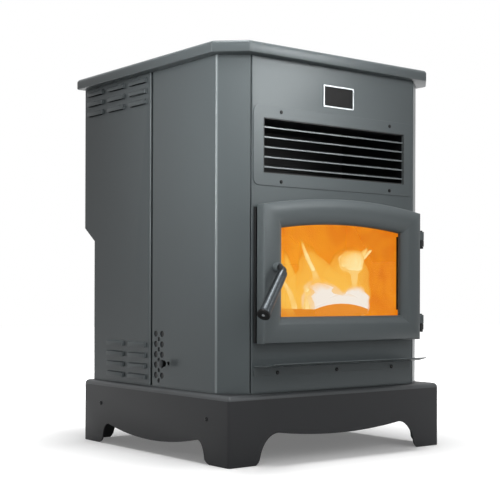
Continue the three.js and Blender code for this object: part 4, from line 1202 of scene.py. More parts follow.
    def build(self) -> None:
        """Makes every panel."""
        front, rear = self.front_side(), self.rear_side()
        right_front, right_rear = mirrored(front.copy()), mirrored(rear.copy())
        rod_hole = rod(self.rod_hole, 3 * SHEET, Vector((-SIDE - SHEET, DAMPER_Y, DAMPER_Z)), RIGHT, 24)
        bores = [rod(11.0, 6.0, Vector((SIDE - 4, y, ControlPanel.button_z)), RIGHT, 24)
                 for y in ControlPanel.button_places.values()]
        # The paler paint on the faces of each fold, on the louvres' front ends and on the bend beside the
        # seam is a painted highlight.
        bends, ends = (EDGE_HIGHLIGHT_PAINT, self.on_a_bend), (EDGE_HIGHLIGHT_PAINT, self.on_an_end)
        for name, panel, painted_highlight in (
            ("left_front_side", cut(front, rod_hole), bends),
            ("left_rear_side", rear, ends),
            ("right_front_side", right_front, bends),
            ("right_rear_side", cut(right_rear, *bores), ends),
        ):
            shaped(f"{name}_sheet", "stove_body", panel, CABINET_PAINT, 0.35, [f"{name}_panel"],
                   painted_highlight=painted_highlight)
        # The black strips in the seams: painted shade in the gaps.
        shaped("left_seam_shade_and_screen", "stove_body", self.seam_shade_and_screen(), BLACK_FINISH_AND_SHADE)
        shaped("right_seam_shade_and_screen", "stove_body", mirrored(self.seam_shade_and_screen()), BLACK_FINISH_AND_SHADE)
        shaped("front_sheet", "stove_body", self.front_panel(), CABINET_PAINT, 0.4, ["front_panel"])
        shaped("top_cover", "stove_body", self.top_plate(), CABINET_PAINT, 0.8, ["top_plate"])
        shaped("rear_sheet", "stove_body", refined("rear_panel"), CABINET_PAINT, 0.5, ["rear_panel"])
        heads = [Screw().mesh(Vector((x, y + GAP, z)), REARWARD)
                 for y, heights in ((BACK, self.lower_screw_z), (self.upper_rear, self.upper_screw_z))
                 for x in self.screw_x for z in heights]
        shaped("rear_sheet_screws", "stove_body", merge(*heads), SCREW_BLACK)


# ------------------------------------------------------------------ vent and badge


@dataclass
class WarmAirVent:
    """The cover plate on the front, the grille behind it and its screws."""

    cover: Window = (-264.0, 264.0, 656.0, 845.0)
    cover_corner: float = 18.0
    half_width: float = 234.0
    bottom: float = 686.0
    top: float = 816.0
    depth: float = 27.0
    rim: float = 6.0
    blades: int = 5
    first_blade: float = 700.5
    blade_pitch: float = 23.5
    tab_end: float = 24.5
    lip_edge: float = 0.8
    screw_x: float = 181.0
    low_screw_z: float = 667.0
    high_screw_z: float = 833.0

    def build(self) -> None:
        """Makes the plate, the grille and the four screws."""
        back = FRONT - GAP
        face = back - SHEET
        opening = block(-self.half_width, self.half_width, face - PAST, back + PAST, self.bottom, self.top)
        plate = cut(prism(rectangle(*self.cover, self.cover_corner), Axis.Y, face, back), opening)
        shaped("vent_cover", "stove_body", plate, CABINET_PAINT, 0.5, ["vent_cover_plate"])
        self.grille(face + 0.5)
        for height, z in (("low", self.low_screw_z), ("high", self.high_screw_z)):
            for side, x in (("left", -self.screw_x), ("right", self.screw_x)):
                head = Screw().mesh(Vector((x, face - GAP, z)), FORWARD)
                name = f"vent_screw_{height}_{side}"
                shaped(f"{name}_head", "stove_body", head, SCREW_BLACK, stands_for=[name])

    def grille(self, y0: float) -> None:
        """Makes the black webs, painted shade for the dark inside the vent, and the lips in front of them,
        whose paler paint is a painted highlight.

        Args:
            y0: the depth of the grille's front edge.
        """
        outer, low, high = self.half_width - GAP, self.bottom + GAP, self.top - GAP
        y1 = y0 + self.depth
        hole = block(-outer + SHEET, outer - SHEET, y0 - PAST, y1 + PAST, low + SHEET, high - SHEET)
        webs = [cut(block(-outer, outer, y0, y1, low, high), hole)]
        # A thin strip inside the grille's right side, in the paler paint: a painted highlight on that reveal.
        lips = [block(outer - SHEET - 0.4, outer - SHEET, y0 + 0.3, y0 + self.rim, low + SHEET + GAP,
                      high - SHEET - GAP)]
        for index in range(self.blades):
            z = self.first_blade + index * self.blade_pitch
            section = [(y0 + 4.4, z - 2.0), (y0 + 23.0, z + 5.0), (y0 + 23.0, z + 7.0), (y0 + 4.4, z)]
            webs.append(prism(section, Axis.X, -outer + 1, outer - 1))
            lip = rectangle(y0 + 2.4, y0 + 4.5, z - 2.2, z + 1.3, self.lip_edge)
            lips.append(prism(lip, Axis.X, -outer + 24.0, outer - 3))
            tab = rectangle(y0 + 1.4, y0 + 4.6, z - 2.4, z + 1.6, self.lip_edge)
            lips.append(prism(tab, Axis.X, -outer + 1, -outer + self.tab_end))
        shaped("vent_grille_webs", "stove_body", merge(*webs), BLACK_FINISH_AND_SHADE, 0.0, ["vent_grille"])
        shaped("vent_grille_lips", "stove_body", merge(*lips), EDGE_HIGHLIGHT_PAINT, 0.2)


@dataclass
class Badge:
    """The plate on the front, left bare: a satin rim round a black field."""

    x: float = 4.5
    z: float = 888.0
    half_width: float = 50.5
    half_height: float = 27.2
    rim: float = 3.4
    corner: float = 2.5
    thickness: float = 2.0
    floor: float = 0.7
    enamel: float = 1.5

    def outline(self, inset: float) -> list[Point]:
        """The plate's outline, drawn in by an inset."""
        w, h = self.half_width - inset, self.half_height - inset
        return rectangle(self.x - w, self.x + w, self.z - h, self.z + h, self.corner)

    def build(self) -> None:
        """Makes the rim and the field."""
        back = FRONT - GAP
        tray = prism(self.outline(self.rim), Axis.Y, back - self.thickness - PAST, back - self.floor)
        rim = cut(prism(self.outline(0.0), Axis.Y, back - self.thickness, back), tray)
        field = prism(self.outline(self.rim + 0.05), Axis.Y, back - self.enamel, back - self.floor - 0.02)
        shaped("badge_rim", "stove_body", rim, BADGE_METAL, 0.3, ["badge_plate"])
        shaped("badge_field", "stove_body", field, BADGE_FIELD, 0.15)


# ------------------------------------------------------------------ fire door


@dataclass(frozen=True)
class Arch:
    """An upright opening or rim with an arched head."""

    half_width: float
    bottom: float
    corner: float
    rise: float

    def loop(self, y: float, steps: int = 24) -> list[Vector]:
        """Draws the arch at one depth.

        Args:
            y: the depth.
            steps: the straight pieces in its head.

        Returns:
            A closed loop.
        """
        points = [Vector((-self.half_width, y, self.bottom)), Vector((self.half_width, y, self.bottom))]
        for step in range(steps + 1):
            along = 1 - 2 * step / steps
            points.append(Vector((self.half_width * along, y, self.corner + self.rise * (1 - along * along))))
        return points

    def toward(self, other: "Arch", share: float) -> "Arch":
        """The arch that lies a share of the way to another."""
        pairs = zip((self.half_width, self.bottom, self.corner, self.rise),
                    (other.half_width, other.bottom, other.corner, other.rise))
        return Arch(*(a + (b - a) * share for a, b in pairs))


@dataclass
class FireDoor:
    """The arched cast door with its glass, rope and hinges.

    The frame's face is an arc that tilts in towards the window and out towards the rim.
    """

    rim: Arch = Arch(half_width=260.0, bottom=283.0, corner=609.5, rise=22.0)
    window: Arch = Arch(half_width=198.5, bottom=345.5, corner=556.0, rise=14.0)
    back: float = -326.0
    skirt: float = -320.0
    wall: float = 4.5
    crown: float = -353.0
    radius: float = 49.7
    inward: float = 50.0
    outward: float = 25.0
    face_steps: int = 18
    rim_steps: int = 6
    glass_lap: float = 8.0
    glass: float = 5.0
    hinge_x: float = 284.0
    hinge_y: float = -327.0
    hinge_bottoms: Pair = (307.0, 525.0)
    knuckle_height: float = 23.0
    latch_x: float = -228.0
    latch_z: float = 462.0

    def frame_section(self) -> list[list[Vector]]:
        """Draws the frame's section as arches, from the window over the face to the rim's inside.

        Returns:
            The arches' loops, in order.
        """
        across = self.rim.half_width - self.window.half_width
        loops = [self.window.loop(self.back), self.window.loop(self.crown + 18.8)]
        start = math.sin(math.radians(-self.inward))
        for step in range(self.face_steps + 1):
            tilt = math.radians((self.outward + self.inward) * step / self.face_steps - self.inward)
            share = self.radius * (math.sin(tilt) - start) / across
            depth = self.crown + self.radius * (1 - math.cos(tilt))
            if step == 0:
                share, depth = 0.012, depth - 0.4
            loops.append(self.window.toward(self.rim, share).loop(depth))
        turned = [Vector((share, depth)), Vector((1.0, depth + 1.2)), Vector((1.0, depth + 5.0))]
        for step in range(1, self.rim_steps + 1):
            along = step / self.rim_steps
            at = turned[0].lerp(turned[1], along).lerp(turned[1].lerp(turned[2], along), along)
            loops.append(self.window.toward(self.rim, at.x).loop(at.y))
        inside = self.window.toward(self.rim, 1 - self.wall / across)
        return [*loops, self.rim.loop(self.skirt - 0.8), self.rim.toward(inside, 0.18).loop(self.skirt),
                inside.loop(self.skirt), inside.loop(self.back)]

    def casting(self) -> Solid:
        """Joins the frame, its latch boss and its hinge knuckles.

        Returns:
            The casting.
        """
        boss = lathe([(10.9, 0.0), (10.9, 16.0), (10.4, 17.6), (9.0, 18.0), (7.3, 18.0), (7.3, 12.0)],
                     Vector((self.latch_x, self.crown + 5.0, self.latch_z)), FORWARD, 40)
        pieces = [loft(self.frame_section(), around=True), boss]
        high = self.knuckle_height
        barrel = [(5.9, 0.0), (7.0, 1.1), (7.0, high - 1.1), (5.9, high)]
        for bottom in self.hinge_bottoms:
            low, inner = bottom + 16.0, self.hinge_x - 2
            pieces.append(lathe(barrel, Vector((self.hinge_x, self.hinge_y, low)), UP, 28))
            pieces.append(block(257.0, inner, -333.4, self.back + 0.1, low + 0.6, low + high - 0.6))
        return merge(*pieces)

    def gasket(self) -> Solid:
        """Carries the rope's round section round the door's back.

        Returns:
            The rope.
        """
        middle, radius, half_depth, sides = -321.5, 4.2, 3.9, 12
        path = rectangle(-250.25, 250.25, 293.25, 595.75, 9.0)
        loops = []
        for index, (u, v) in enumerate(path):
            after, before = path[(index + 1) % len(path)], path[index - 1]
            ahead = Vector((after[0] - before[0], after[1] - before[1])).normalized()
            side = Vector((-ahead.y, 0.0, ahead.x))
            loops.append([Vector((u, middle, v)) + side * radius * math.cos(a)
                          + Vector((0, half_depth * math.sin(a), 0)) for a in turns(sides)])
        return loft(loops, around=True)

    def build(self) -> None:
        """Makes the casting, the glass, the rope and the hinges."""
        body, lap = "fire_door", self.glass_lap
        shaped("door_casting", body, self.casting(), DOOR_CASTING, 0.5, ["door_frame"], crease=32.0)
        pane = Arch(self.window.half_width + lap, self.window.bottom - lap, self.window.corner + lap,
                    self.window.rise)
        glass = loft([pane.loop(self.back + GAP), pane.loop(self.back + GAP + self.glass)])
        shaped("door_pane", body, glass, FIRE_GLASS, 0.6, ["door_glass"])
        shaped("door_rope", body, self.gasket(), ROPE, 0.0, ["door_gasket"])
        shaped("door_surround_ring", "stove_body", refined("door_surround"), BLACK_FINISH_AND_SHADE, 0.5,
               ["door_surround"])
        bolt = [(3.0, 41.7), (3.0, -0.4), (4.6, -0.4), (5.4, -1.2), (5.4, -5.0), (4.4, -6.0), (0.6, -6.0)]
        for where, bottom in zip(("lower", "upper"), self.hinge_bottoms):
            pin = lathe(bolt, Vector((self.hinge_x, self.hinge_y, bottom)), UP, 24)
            shaped(f"hinge_bolt_{where}", body, pin, SCREW_BLACK, stands_for=[f"hinge_pin_{where}"])


@dataclass
class DoorHandle:
    """The latch shaft, its gunmetal grip and the black end cap."""

    pivot: Triple = (-228.0, -367.0, 462.0)
    start: Triple = (-228.0, -381.0, 456.0)
    end: Triple = (-316.0, -418.0, 356.0)
    shaft_radius: float = 6.9
    cap_floor: float = 5.4

    def shaft(self, pivot: Vector, start: Vector, along: Vector) -> Solid:
        """Bends the shaft from the latch to the grip.

        Args:
            pivot: where it leaves the door.
            start: where the grip begins.
            along: the grip's direction.

        Returns:
            The bent bar.
        """
        bend = [pivot + Vector((0, 59, 0)), pivot + Vector((0, 6, 0)), pivot + Vector((0, 1.5, -0.3)),
                pivot.lerp(start, 0.35), pivot.lerp(start, 0.75) + Vector((0, 0, -0.4)), start + along * 1.5,
                start + along * 9.0]
        loops = []
        for index, at in enumerate(bend):
            ahead = (bend[min(index + 1, len(bend) - 1)] - bend[max(index - 1, 0)]).normalized()
            side = ahead.cross(UP).normalized()
            up = side.cross(ahead)
            loops.append([at + side * self.shaft_radius * math.cos(a) + up * self.shaft_radius * math.sin(a)
                          for a in turns(24)])
        return loft(loops)

    def build(self) -> None:
        """Makes the shaft, the grip and the cap."""
        body = "door_handle"
        start, end, pivot = Vector(self.start), Vector(self.end), Vector(self.pivot)
        along = (end - start).normalized()
        length = (end - start).length
        core = rod(5.4, length - 1.0, start, along, 16)
        collar = rod(8.9, 8.0, Vector((pivot.x, -316, pivot.z)), REARWARD, 24)
        finger = block(pivot.x - 19, pivot.x, -315, -309, pivot.z - 6, pivot.z + 6)
        bar = merge(self.shaft(pivot, start, along), core, collar, finger)
        shaped("latch_shaft_bar", body, bar, BLACK_FINISH_AND_SHADE, 0.0, ["latch_shaft"])
        grip = [(10.2, 9.0), (11.4, 9.6), (12.0, 11.2), (12.4, 30.0), (13.6, length - 22.0),
                (14.3, length - 5.0), (14.4, length - 2.2), (13.6, length - 0.6)]
        shaped("handle_grip_sleeve", body, lathe(grip, start, along, 48), TURNED_STEEL, 0.0, ["handle_grip"])
        cap = [(14.8, 0.0), (15.7, 0.5), (16.0, 1.5), (16.0, 5.2), (15.4, 6.4), (14.0, 7.0), (7.0, 7.0),
               (6.2, 6.6), (5.8, self.cap_floor), (0.5, self.cap_floor)]
        shaped("handle_cap", body, lathe(cap, end, along, 48), BLACK_NYLON, 0.0, ["handle_end_cap"])
        screw = Screw(head=3.6, proud=1.4, shank=1.5, depth=0.6)
        shaped("handle_cap_screw", body, screw.mesh(end + along * self.cap_floor, along), BARE_STEEL)


@dataclass
class AshLip:
    """The folded shelf under the door and the three fixings below it."""

    fixing_x: tuple[float, ...] = (-190.0, 0.0, 190.0)
    fixing_z: float = 213.0

    def build(self) -> None:
        """Makes the lip and its fixings."""
        shaped("ash_lip_shelf", "stove_body", refined("ash_lip"), CABINET_PAINT, 0.45, ["ash_lip"])
        screw = Screw(head=5.0, proud=2.6, shank=2.4, depth=SHEET)
        for place, x in zip(("left", "middle", "right"), self.fixing_x):
            head = screw.mesh(Vector((x, FRONT - GAP - SHEET, self.fixing_z)), FORWARD)
            shaped(f"ash_lip_screw_{place}", "stove_body", head, SCREW_BLACK)


# ------------------------------------------------------------------ fire


def pellets(count: int, centre: Vector, spread: Vector, seed: int) -> Solid:
    """Drops pressed pellets in a heap, at all angles.

    Args:
        count: how many there are.
        centre: the middle of the heap.
        spread: its half sizes.
        seed: what fixes their places.

    Returns:
        The heap as one mesh.
    """
    chance = random.Random(seed)
    heap = []
    for _ in range(count):
        u, v = chance.uniform(-1, 1), chance.uniform(-1, 1)
        crown = 1 - 0.5 * (u * u + v * v)
        at = centre + Vector((u * spread.x, v * spread.y, crown * spread.z + chance.uniform(-4, 0)))
        lean = Vector((chance.uniform(-1, 1), chance.uniform(-1, 1), chance.uniform(-0.35, 0.35)))
        length = chance.uniform(11, 21)
        heap.append(lathe([(2.6, 0.0), (3.0, 0.5), (3.0, length - 0.5), (2.6, length)],
                          at - lean.normalized() * length / 2, lean, 7))
    return merge(*heap)


@dataclass(frozen=True)
class Tongue:
    """One flame: a line of points, each an x, a z and a half width, at one depth y."""

    points: tuple[Triple, ...]
    y: float = -215.0
    flatness: float = 0.4
    sides: int = 16
    between: int = 5
    ripple: float = 0.16

    def mesh(self, seed: int) -> Solid:
        """Makes the flame as a flattened spindle that licks to and fro along its line.

        Its map holds 0 at the outline and 1 along the middle, as seen from the front, and falls to 0
        at both ends.

        Args:
            seed: what makes its ripples its own.

        Returns:
            The flame, with its map.
        """
        angles = turns(self.sides)
        loops = []
        for index in range(len(self.points) - 1):
            near, far = self.points[index], self.points[index + 1]
            for step in range(self.between + (index == len(self.points) - 2)):
                share = step / self.between
                eased = share * share * (3 - 2 * share)
                x, z = near[0] + (far[0] - near[0]) * share, near[1] + (far[1] - near[1]) * share
                width = near[2] + (far[2] - near[2]) * eased
                loop = []
                for angle in angles:
                    around = Vector((math.cos(angle), math.sin(angle), z * 0.02 + seed))
                    reach = width * (1 + self.ripple * fractal.noise(around))
                    y = self.y + reach * self.flatness * math.sin(angle)
                    loop.append(Vector((x + reach * math.cos(angle), y, z)))
                loops.append(loop)
        flame = loft(loops)
        outline = flame.loops.layers.uv.new("UVMap")
        for face in flame.faces:
            for corner in face.loops:
                ring, side = divmod(corner.vert.index, self.sides)
                along = ring / (len(loops) - 1)
                corner[outline].uv = (abs(math.sin(angles[side])), min(1.0, 4 * along, 3 * (1 - along)))
        return flame


# The white mass over the pot, and the dip between its two humps.
HEART = (
    Tongue(((58, 330, 66), (60, 360, 88), (52, 388, 88), (36, 412, 62), (20, 436, 34), (10, 458, 8))),
    Tongue(((100, 330, 56), (108, 360, 84), (118, 388, 72), (140, 412, 36), (152, 436, 6)), -222.0),
    Tongue(((70, 330, 60), (74, 360, 96), (78, 388, 80), (86, 408, 30)), -228.0),
)
# The long tongue that leans left, the flare on its stalk at the right, and small ones round them.
TONGUES = (
    Tongue(((26, 400, 14), (22, 428, 14), (10, 454, 9), (-12, 488, 7), (-28, 520, 5), (-40, 552, 2))),
    Tongue(((146, 380, 12), (152, 428, 10), (152, 450, 12), (146, 468, 34), (142, 490, 42), (146, 510, 36),
            (152, 524, 12)), -212.0),
    Tongue(((132, 452, 16), (132, 474, 28), (132, 494, 30), (136, 514, 14)), -206.0),
    Tongue(((160, 400, 4), (162, 446, 5), (170, 482, 10), (192, 510, 10), (214, 532, 3)), -205.0),
    Tongue(((200, 486, 2), (212, 500, 6), (228, 514, 6), (236, 522, 2)), -190.0),
    Tongue(((-42, 340, 6), (-50, 372, 9), (-62, 400, 8), (-88, 436, 5), (-96, 470, 1)), -205.0),
    Tongue(((-14, 336, 10), (-20, 366, 16), (-16, 396, 14), (-34, 430, 5)), -225.0),
    Tongue(((-104, 420, 3), (-98, 450, 6), (-106, 480, 5), (-114, 510, 1)), -205.0),
)
# The wide sheets of gas behind them.
VEILS = (
    Tongue(((50, 320, 110), (54, 380, 130), (48, 430, 100), (30, 470, 56), (4, 510, 24), (-16, 550, 6)),
           -196.0),
    Tongue(((116, 320, 80), (130, 390, 100), (142, 450, 80), (150, 500, 50), (160, 540, 10)), -192.0),
    Tongue(((70, 320, 140), (76, 380, 150), (70, 420, 90), (64, 450, 20)), -186.0),
    Tongue(((-96, 330, 20), (-100, 400, 30), (-92, 450, 24), (-108, 500, 16), (-116, 550, 4)), -200.0),
    Tongue(((-60, 330, 18), (-66, 390, 24), (-60, 440, 18), (-76, 490, 8), (-84, 520, 2)), -205.0),
)


@dataclass
class Fire:
    """The lined firebox, the burning pot and its flames."""

    half_width: float = 247.0
    front: float = -300.0
    back: float = -75.0
    low: float = 336.0
    high: float = 635.0
    wall: float = 5.0
    chute: Window = (-34.0, 34.0, 478.0, 546.0)
    exhaust: Window = (-103.0, -49.0, 337.5, 380.0)
    hood_reach: float = 34.0
    hood_low: float = 478.0
    hood_skin: float = 2.5
    hood_half_width: float = 42.0
    hearth_plan: Window = (113.0, 241.0, -296.0, -81.0)
    hearth_low: float = 324.0
    hearth_high: float = 329.0

    def lining(self) -> Solid:
        """Puts boards on the back, the sides and the roof.

        Returns:
            The boards.
        """
        w, rear = self.half_width, self.back - self.wall
        holes = [block(x0, x1, rear - PAST, self.back + PAST, z0, z1)
                 for x0, x1, z0, z1 in (self.chute, self.exhaust)]
        back = cut(block(-w, w, rear, self.back, self.low, self.high), *holes)
        left = block(-w, -w + self.wall, self.front, rear, self.low, self.high)
        right = block(w - self.wall, w, self.front, rear, self.low, self.high)
        roof = block(-w + self.wall, w - self.wall, self.front, rear, self.high - self.wall, self.high)
        return merge(back, left, right, roof)

    def feed_hood(self) -> Solid:
        """Slopes a cover over the feed opening, where the pellets drop out below it.

        Returns:
            The cover with its two cheeks.
        """
        rear, t, low = self.back - self.wall - GAP, self.hood_skin, self.hood_low
        reach = rear - self.hood_reach
        cover = [(rear, 552.0), (reach, 530.0), (reach, low), (reach + t, low), (reach + t, 528.6),
                 (rear - t, 549.0), (rear, 549.0)]
        cheek = [(rear, 554.0), (rear - 33, 531.0), (rear - 33, low), (rear, low)]
        outer = self.hood_half_width + 0.1
        return merge(prism(cover, Axis.X, -self.hood_half_width, self.hood_half_width),
                     prism(cheek, Axis.X, -outer, -outer + t), prism(cheek, Axis.X, outer - t, outer))

    def hearth(self) -> Solid:
        """The boards beside the pot's shelf, just above the ash pan."""
        inner, outer, front, rear = self.hearth_plan
        return merge(*[block(left, right, front, rear, self.hearth_low, self.hearth_high)
                       for left, right in ((-outer, -inner), (inner, outer))])

    def build(self) -> None:
        """Makes the lining, the pot's glow, its pellets, the fuel in the hopper and the flames."""
        shaped("firebox_lining", "stove_body", self.lining(), BOARD, 0.5)
        shaped("feed_opening_hood", "stove_body", self.feed_hood(), BOARD, 0.0)
        shaped("firebox_hearth_boards", "stove_body", self.hearth(), BOARD, 0.5)
        shaped("burn_pot_casting", "burn_pot", refined("burn_pot"), POT_IRON, 0.7, ["burn_pot"])
        embers = pellets(110, Vector((26, -220, 344)), Vector((54, 48, 12)), seed=5)
        shaped("burning_pellets", "burn_pot", embers, EMBERS)
        feed = pellets(420, Vector((0, 165, 812)), Vector((205, 140, 55)), seed=9)
        shaped("stored_pellets", "stove_body", feed, PELLET_WOOD)
        seed = 1
        for name, finish, tongues in (
            ("flame_heart", CORE_FLAME, HEART),
            ("flame_tongues", TONGUE_FLAME, TONGUES),
            ("flame_veils", VEIL_FLAME, VEILS),
        ):
            meshes = [tongue.mesh(seed + index) for index, tongue in enumerate(tongues)]
            seed += len(tongues)
            made = shaped(name, "burn_pot", merge(*meshes), finish, crease=180.0)
            made.visible_shadow = False


# ------------------------------------------------------------------ lid, controls, rear


@dataclass
class HopperLid:
    """The hinged lid and its handle."""

    seat: float = 1001.3
    crest: float = 1018.3
    bar_height: float = 6.0
    half_length: float = 58.0
    leg: float = 10.0
    near: float = 33.0
    far: float = 43.0

    def build(self) -> None:
        """Softens the lid and makes a handle with rounded feet."""
        shaped("hopper_lid_tray", "hopper_lid", refined("hopper_lid"), CABINET_PAINT, 0.9, ["hopper_lid"])
        base, top, under = self.seat, self.crest, self.crest - self.bar_height
        outer, inner = self.half_length, self.half_length - self.leg
        corners = [(-outer, base), (-outer, top), (outer, top), (outer, base), (inner, base), (inner, under),
                   (-inner, under), (-inner, base)]
        bar = prism(rounded(corners, 3.5), Axis.Y, self.near, self.far)
        shaped("lid_handle_bar", "hopper_lid", bar, BLACK_FINISH_AND_SHADE, 1.0, ["lid_handle"])


@dataclass
class ControlPanel:
    """The controls on the right side: a display window and three push buttons."""

    button_places: ClassVar[dict[str, float]] = {"power": 130.0, "heat_up": 180.0, "heat_down": 230.0}
    button_z: ClassVar[float] = 720.0
    thickness: float = 4.0
    display: Window = (116.0, 244.0, 753.0, 785.0)
    display_corner: float = 2.0
    cap_length: float = 9.0
    cap_proud: float = 3.0

    def build(self) -> None:
        """Makes the panel, its display and its buttons."""
        shaped("control_bezel", "stove_body", refined("control_panel"), BLACK_NYLON, 0.5, ["control_panel"])
        face = SIDE + GAP + self.thickness
        glass = prism(rectangle(*self.display, self.display_corner), Axis.X, face - 0.9, face - 0.2)
        shaped("display_window", "stove_body", glass, BADGE_FIELD, 0.2)
        profile = [(8.8, 0.0), (9.0, 0.3), (9.0, 7.6), (8.5, 8.6), (7.4, 9.0), (5.0, 8.8), (0.4, 8.5)]
        foot = face + self.cap_proud - self.cap_length
        for name, y in self.button_places.items():
            cap = lathe(profile, Vector((foot, y, self.button_z)), RIGHT, 36)
            shaped(f"{name}_keycap", f"{name}_button", cap, GREY_NYLON, stands_for=[f"{name}_button"])


@dataclass
class RearFittings:
    """The flue outlet, the mains inlet and the damper's rod and pull."""

    pin_places: tuple[Point, ...] = ((203.0, 211.5), (217.0, 211.5), (210.0, 206.0))
    rod_radius: float = 4.0
    rod_start: float = 20.7
    rod_length: float = 328.7
    disc_start: float = 21.7
    knob_start: float = -345.9

    def build(self) -> None:
        """Softens the pipes' edges and makes the inlet's pins and the damper's pull."""
        body = "stove_body"
        shaped("flue_collar", body, refined("flue_outlet"), BARE_STEEL, 0.5, ["flue_outlet"])
        shaped("power_socket_shell", body, refined("power_inlet"), BLACK_NYLON, 0.6, ["power_inlet"])
        pins = [block(x - 1, x + 1, 291.0, 300.5, z - 3, z + 3) for x, z in self.pin_places]
        shaped("power_socket_pins", body, merge(*pins), BARE_STEEL, 0.4)
        bar = rod(self.rod_radius, self.rod_length, Vector((self.rod_start, DAMPER_Y, DAMPER_Z)), LEFT, 20)
        disc = lathe([(19.6, 0.0), (20.0, 0.4), (20.0, 2.6), (19.6, 3.0)],
                     Vector((self.disc_start, DAMPER_Y, DAMPER_Z)), LEFT, 32)
        shaped("damper_bar", "damper", merge(bar, disc), BLACK_FINISH_AND_SHADE, 0.0, ["damper_rod"])
        knob_seat = Vector((self.knob_start, DAMPER_Y, DAMPER_Z))
        knob = [(4.3, 0.0), (7.6, 0.0), (8.2, 0.6), (8.4, 4.0), (9.5, 7.0), (9.5, 9.8), (8.4, 10.6),
                (0.4, 10.4)]
        shaped("damper_pull", "damper", lathe(knob, knob_seat, LEFT, 36), BLACK_NYLON, 0.0, ["damper_knob"])
        insert = [(8.6, 10.65), (9.1, 10.7), (9.1, 11.4), (8.2, 11.9), (0.4, 12.0)]
        shaped("damper_pull_insert", "damper", lathe(insert, knob_seat, LEFT, 36), KNOB_NYLON)


# ------------------------------------------------------------------ studio


@dataclass(frozen=True)
class SoftBox:
    """A rectangular lamp, in metres and watts.

    Attributes:
        name: the lamp's name.
        at: where it hangs.
        aim: the point that it faces.
        size: its width and height.
        power: its power.
        spread: the angle that its honeycomb grid lets out, in degrees.
    """

    name: str
    at: Triple
    aim: Triple
    size: Pair
    power: float
    spread: float = 180.0

    def build(self) -> None:
        """Hangs the lamp."""
        data = bpy.data.lights.new(self.name, "AREA")
        data.shape = "RECTANGLE"
        data.size, data.size_y = self.size
        data.energy = self.power
        data.spread = math.radians(self.spread)
        lamp = bpy.data.objects.new(self.name, data)
        lamp.location = self.at
        lamp.rotation_mode = "QUATERNION"
        lamp.rotation_quaternion = (Vector(self.aim) - Vector(self.at)).to_track_quat("-Z", "Y")
        bpy.context.scene.collection.objects.link(lamp)


WHITE = (1.0, 1.0, 1.0, 1.0)
SOFT_BOXES = (
    # The main light, from the photographer's side of the front.
    SoftBox("front", (-0.4, -2.2, 1.2), (-0.1, -0.3, 0.6), (1.2, 1.2), 10.5),
    # Two on the right brighten the front and the chamfer towards the top.
    SoftBox("front_right", (0.62, -1.45, 1.25), (-0.25, -0.27, 0.9), (0.5, 0.5), 1.4),
    SoftBox("front_right_grid", (0.62, -1.45, 1.2), (-0.3, -0.31, 0.92), (0.45, 0.45), 1.05, 50.0),
    # Two small ones lift the front panel's left edge and the chamfer beside it.
    SoftBox("over_the_front", (-0.3, -0.8, 1.5), (-0.27, -0.31, 0.93), (0.3, 0.3), 0.65, 80.0),
    SoftBox("front_left", (-0.8, -1.05, 1.15), (-0.28, -0.29, 0.9), (0.4, 0.4), 0.35, 75.0),
    # A tall strip draws the light line down the fold of the left side.
    SoftBox("side_strip", (-1.4, -0.18, 0.95), (-0.33, -0.3, 0.9), (0.1, 0.9), 2.2, 70.0),
    # Far overhead: it lights the floor and the top, and hardly the upright faces.
    SoftBox("overhead", (0.0, 0.0, 6.0), (0.0, 0.0, 0.0), (2.0, 2.0), 350.0),
)


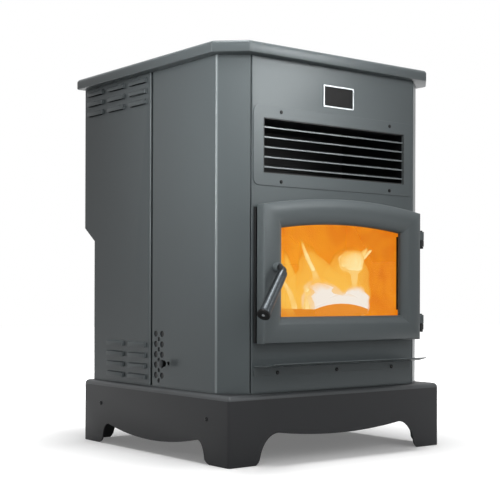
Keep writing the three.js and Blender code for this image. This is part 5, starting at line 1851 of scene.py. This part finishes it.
@dataclass
class Studio:
    """A white floor, soft lights and the camera at the photograph's viewpoint."""

    eye: Triple = (-1891.55, -2390.43, 403.98)
    heading: float = 37.899
    roll: float = -0.177
    focal: float = 1128.57  # in pixels of a frame that is 500 wide
    frame_size: float = 500.0
    horizon: float = 292.14  # the pixel row that the level line of sight meets
    sensor: float = 36.0
    floor_reach: float = 9.0
    floor_drop: float = 0.0004
    floor_lit: float = 0.04  # what the floor throws back at the stove
    floor_seen: float = 0.9
    floor_lift: float = 0.17  # what it gives off by itself beside the stove
    lit_near: float = 0.6  # the lamps' light on the floor fades from here
    lit_far: float = 1.5  # to here, and the floor's own light takes over
    dim: float = 0.1  # the surroundings as a light

    def camera(self) -> None:
        """Makes the camera."""
        data = bpy.data.cameras.new("camera")
        data.sensor_width = self.sensor
        data.lens = self.focal / self.frame_size * self.sensor
        data.shift_y = (self.horizon - self.frame_size / 2) / self.frame_size
        data.clip_start, data.clip_end = 0.05, 60.0
        camera = bpy.data.objects.new("camera", data)
        heading = math.radians(self.heading)
        ahead = Vector((math.sin(heading), math.cos(heading), 0.0))
        spin = Matrix.Rotation(-math.radians(self.roll), 4, "Z")
        camera.matrix_world = (Matrix.Translation(TO_FRAME @ Vector(self.eye))
                               @ ahead.to_track_quat("-Z", "Y").to_matrix().to_4x4() @ spin)
        bpy.context.scene.collection.objects.link(camera)
        bpy.context.scene.camera = camera

    def seen_white(self, tree: Tree) -> Socket:
        """Tells where the background is looked at, mirrored or seen through glass.

        Args:
            tree: the tree that asks.

        Returns:
            1 there and 0 elsewhere.
        """
        rays = node(tree, "ShaderNodeLightPath").outputs
        inputs = {0: rays["Is Camera Ray"], 1: rays["Is Glossy Ray"]}
        either = node(tree, "ShaderNodeMath", inputs, operation="MAXIMUM").outputs["Value"]
        inputs = {0: either, 1: rays["Is Transmission Ray"]}
        return node(tree, "ShaderNodeMath", inputs, operation="MAXIMUM").outputs["Value"]

    def floor_material(self) -> bpy.types.Material:
        """Makes the floor's material, white wherever the stove's shadow doesn't fall.

        Returns:
            The material.
        """
        material = bpy.data.materials.new("White studio floor")
        material.use_nodes = True
        tree = material.node_tree
        tree.nodes.clear()
        seen = self.seen_white(tree)
        shades = {"Factor": seen, "A": (*(self.floor_lit,) * 3, 1.0), "B": (*(self.floor_seen,) * 3, 1.0)}
        shade = node(tree, "ShaderNodeMix", shades, data_type="RGBA")
        matt = node(tree, "ShaderNodeBsdfDiffuse", {"Color": shade.outputs["Result"]})
        place = node(tree, "ShaderNodeTexCoord").outputs["Object"]
        away = node(tree, "ShaderNodeVectorMath", {0: place}, operation="LENGTH")
        # The lamps reach about a metre round the stove; beyond that the floor is white by itself.
        ends = {"From Min": self.lit_near, "From Max": self.lit_far, "To Min": self.floor_lift, "To Max": 1.0}
        fill = node(tree, "ShaderNodeMapRange", {"Value": away.outputs["Value"], **ends})
        lift = node(tree, "ShaderNodeMath", {0: seen, 1: fill.outputs["Result"]}, operation="MULTIPLY")
        glow = node(tree, "ShaderNodeEmission", {"Color": WHITE, "Strength": lift.outputs["Value"]})
        both = node(tree, "ShaderNodeAddShader", {0: matt.outputs["BSDF"], 1: glow.outputs["Emission"]})
        node(tree, "ShaderNodeOutputMaterial", {"Surface": both.outputs["Shader"]})
        return material

    def floor(self) -> None:
        """Lays the floor."""
        mesh = bpy.data.meshes.new("floor")
        half, z = self.floor_reach, -self.floor_drop
        mesh.from_pydata([(-half, -half, z), (half, -half, z), (half, half, z), (-half, half, z)], [],
                         [(0, 1, 2, 3)])
        mesh.materials.append(self.floor_material())
        ground = bpy.data.objects.new("floor", mesh)
        bpy.context.scene.collection.objects.link(ground)

    def world(self) -> None:
        """Makes the surroundings: white to look at, dim as a light."""
        world = bpy.data.worlds.new("studio")
        world.use_nodes = True
        tree = world.node_tree
        tree.nodes.clear()
        strength = node(tree, "ShaderNodeMix", {"Factor": self.seen_white(tree), "A": self.dim, "B": 1.0})
        glow = node(tree, "ShaderNodeBackground", {"Color": WHITE, "Strength": strength.outputs["Result"]})
        node(tree, "ShaderNodeOutputWorld", {"Surface": glow.outputs["Background"]})
        bpy.context.scene.world = world

    def build(self) -> None:
        """Makes the whole studio."""
        self.floor()
        self.world()
        for soft_box in SOFT_BOXES:
            soft_box.build()
        self.camera()
        bpy.context.scene.view_settings.view_transform = "Standard"


def main() -> None:
    """Builds the stove and its studio."""
    logging.basicConfig(level=logging.INFO, format="%(name)s: %(message)s")
    dress_frame()
    for assembly in (Pedestal, Cabinet, WarmAirVent, Badge, FireDoor, DoorHandle, AshLip, Fire, HopperLid,
                     ControlPanel, RearFittings, Studio):
        assembly().build()
        LOG.info("%s is done", assembly.__name__)


if __name__ == "__main__":
    main()
